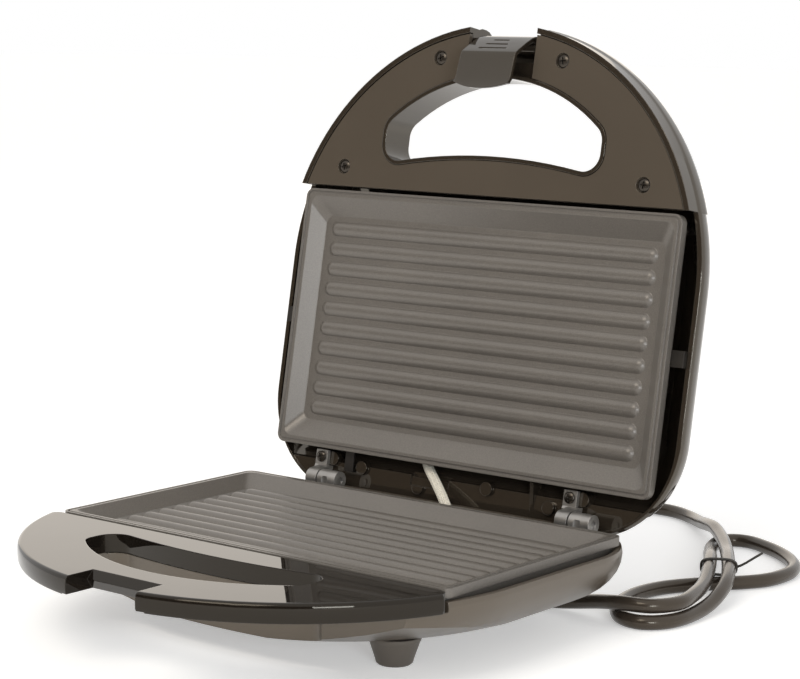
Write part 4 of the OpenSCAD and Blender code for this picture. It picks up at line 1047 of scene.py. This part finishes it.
class TOASTER_OT_stage(bpy.types.Operator):
    """Set the pale worktop, the backdrop and the soft lamps"""

    bl_idname = "toaster.stage"
    bl_label = "Stage"

    @staticmethod
    def seen(tree):
        """1 for a ray that comes from the camera, off gloss or through glass."""
        path = add(tree, "ShaderNodeLightPath")
        camera, glossy, through = (path.outputs[kind] for kind in (
            "Is Camera Ray", "Is Glossy Ray", "Is Transmission Ray"))
        return math_node(tree, "MAXIMUM", camera, math_node(tree, "MAXIMUM", glossy, through))

    def execute(self, context):
        stage, _, _ = settings()
        mesh = bpy.data.meshes.new("worktop")
        far = FLOOR_REACH
        mesh.from_pydata([(-far, -far, 0), (far, -far, 0), (far, far, 0), (-far, far, 0)], [], [(0, 1, 2, 3)])
        floor = link(bpy.data.objects.new("worktop", mesh))
        material = bpy.data.materials.new("worktop")
        material.use_nodes = True
        tree = material.node_tree
        shader = tree.nodes["Principled BSDF"]
        shader.inputs["Base Color"].default_value = (*stage.floor_color, 1)
        shader.inputs["Roughness"].default_value = 0.9
        shader.inputs["Specular IOR Level"].default_value = 0.1
        shader.inputs["Emission Color"].default_value = (1, 1, 1, 1)
        glow = math_node(tree, "MULTIPLY", self.seen(tree), stage.floor_glow)
        tree.links.new(glow, shader.inputs["Emission Strength"])
        mesh.materials.append(material)

        world = bpy.data.worlds.new("Studio")
        world.use_nodes = True
        tree = world.node_tree
        background = tree.nodes["Background"]
        background.inputs["Color"].default_value = (1, 0.99, 0.975, 1)
        background.inputs["Strength"].default_value = stage.sky_strength
        pale = add(tree, "ShaderNodeBackground", Strength=1.0)
        pale.inputs["Color"].default_value = (1, 1, 1, 1)
        mix = add(tree, "ShaderNodeMixShader")
        tree.links.new(self.seen(tree), mix.inputs[0])
        tree.links.new(background.outputs[0], mix.inputs[1])
        tree.links.new(pale.outputs[0], mix.inputs[2])
        tree.links.new(mix.outputs[0], tree.nodes["World Output"].inputs["Surface"])
        context.scene.world = world

        # A dark card behind the camera, so that glossy black faces that look forward stay black
        card_mesh = bpy.data.meshes.new("front_card")
        half, high = stage.card_width / 2, stage.card_height
        corners = ((-half, CARD_FOOT), (half, CARD_FOOT), (half, high), (-half, high))
        card_mesh.from_pydata([(x, CARD_Y, z) for x, z in corners], [], [(0, 1, 2, 3)])
        card = link(bpy.data.objects.new("front_card", card_mesh))
        felt = bpy.data.materials.new("front_card")
        felt.use_nodes = True
        cloth = felt.node_tree.nodes["Principled BSDF"]
        cloth.inputs["Base Color"].default_value = (*stage.card_color, 1)
        cloth.inputs["Roughness"].default_value = 1
        card_mesh.materials.append(felt)
        card.visible_camera = card.visible_diffuse = card.visible_shadow = False

        for name, power, size, place, target, color in LAMPS:
            lamp = bpy.data.lights.new(name, "AREA")
            lamp.shape = "RECTANGLE"
            lamp.size, lamp.size_y = size
            lamp.energy = getattr(stage, power)
            lamp.color = color
            obj = link(bpy.data.objects.new(name, lamp))
            obj.visible_camera = False
            obj.location = place
            obj.rotation_euler = (Vector(target) - Vector(place)).to_track_quat("-Z", "Y").to_euler()
        context.scene.view_settings.view_transform = "Standard"
        return {"FINISHED"}


class TOASTER_PT_panel(bpy.types.Panel):
    """Steps of the toaster, in the order in which they are made"""

    bl_label = "Sandwich Toaster"
    bl_idname = "TOASTER_PT_panel"
    bl_space_type = "VIEW_3D"
    bl_region_type = "UI"
    bl_category = "Toaster"

    def draw(self, context):
        scene = context.scene
        for group in (scene.toaster_lead, scene.toaster_finish, scene.toaster_stage):
            box = self.layout.box()
            for key in group.bl_rna.properties.keys():
                if key not in ("rna_type", "name"):
                    box.prop(group, key)
        for operator in OPERATORS:
            self.layout.operator(operator.bl_idname)


OPERATORS = (
    TOASTER_OT_camera, TOASTER_OT_lead, TOASTER_OT_tie, TOASTER_OT_housings, TOASTER_OT_plates,
    TOASTER_OT_hinges, TOASTER_OT_screws, TOASTER_OT_inner_parts, TOASTER_OT_sleeve, TOASTER_OT_stage,
)
GROUPS = (ToasterStageSettings, ToasterFinishSettings, ToasterLeadSettings)


def register():
    for cls in GROUPS + OPERATORS + (TOASTER_PT_panel,):
        bpy.utils.register_class(cls)
    bpy.types.Scene.toaster_stage = bpy.props.PointerProperty(type=ToasterStageSettings)
    bpy.types.Scene.toaster_finish = bpy.props.PointerProperty(type=ToasterFinishSettings)
    bpy.types.Scene.toaster_lead = bpy.props.PointerProperty(type=ToasterLeadSettings)


def unregister():
    del bpy.types.Scene.toaster_stage
    del bpy.types.Scene.toaster_finish
    del bpy.types.Scene.toaster_lead
    for cls in reversed(GROUPS + OPERATORS + (TOASTER_PT_panel,)):
        bpy.utils.unregister_class(cls)


def main():
    register()
    for operator in OPERATORS:
        group, name = operator.bl_idname.split(".")
        getattr(getattr(bpy.ops, group), name)()
    bpy.context.view_layer.update()


if __name__ == "__main__":
    main()
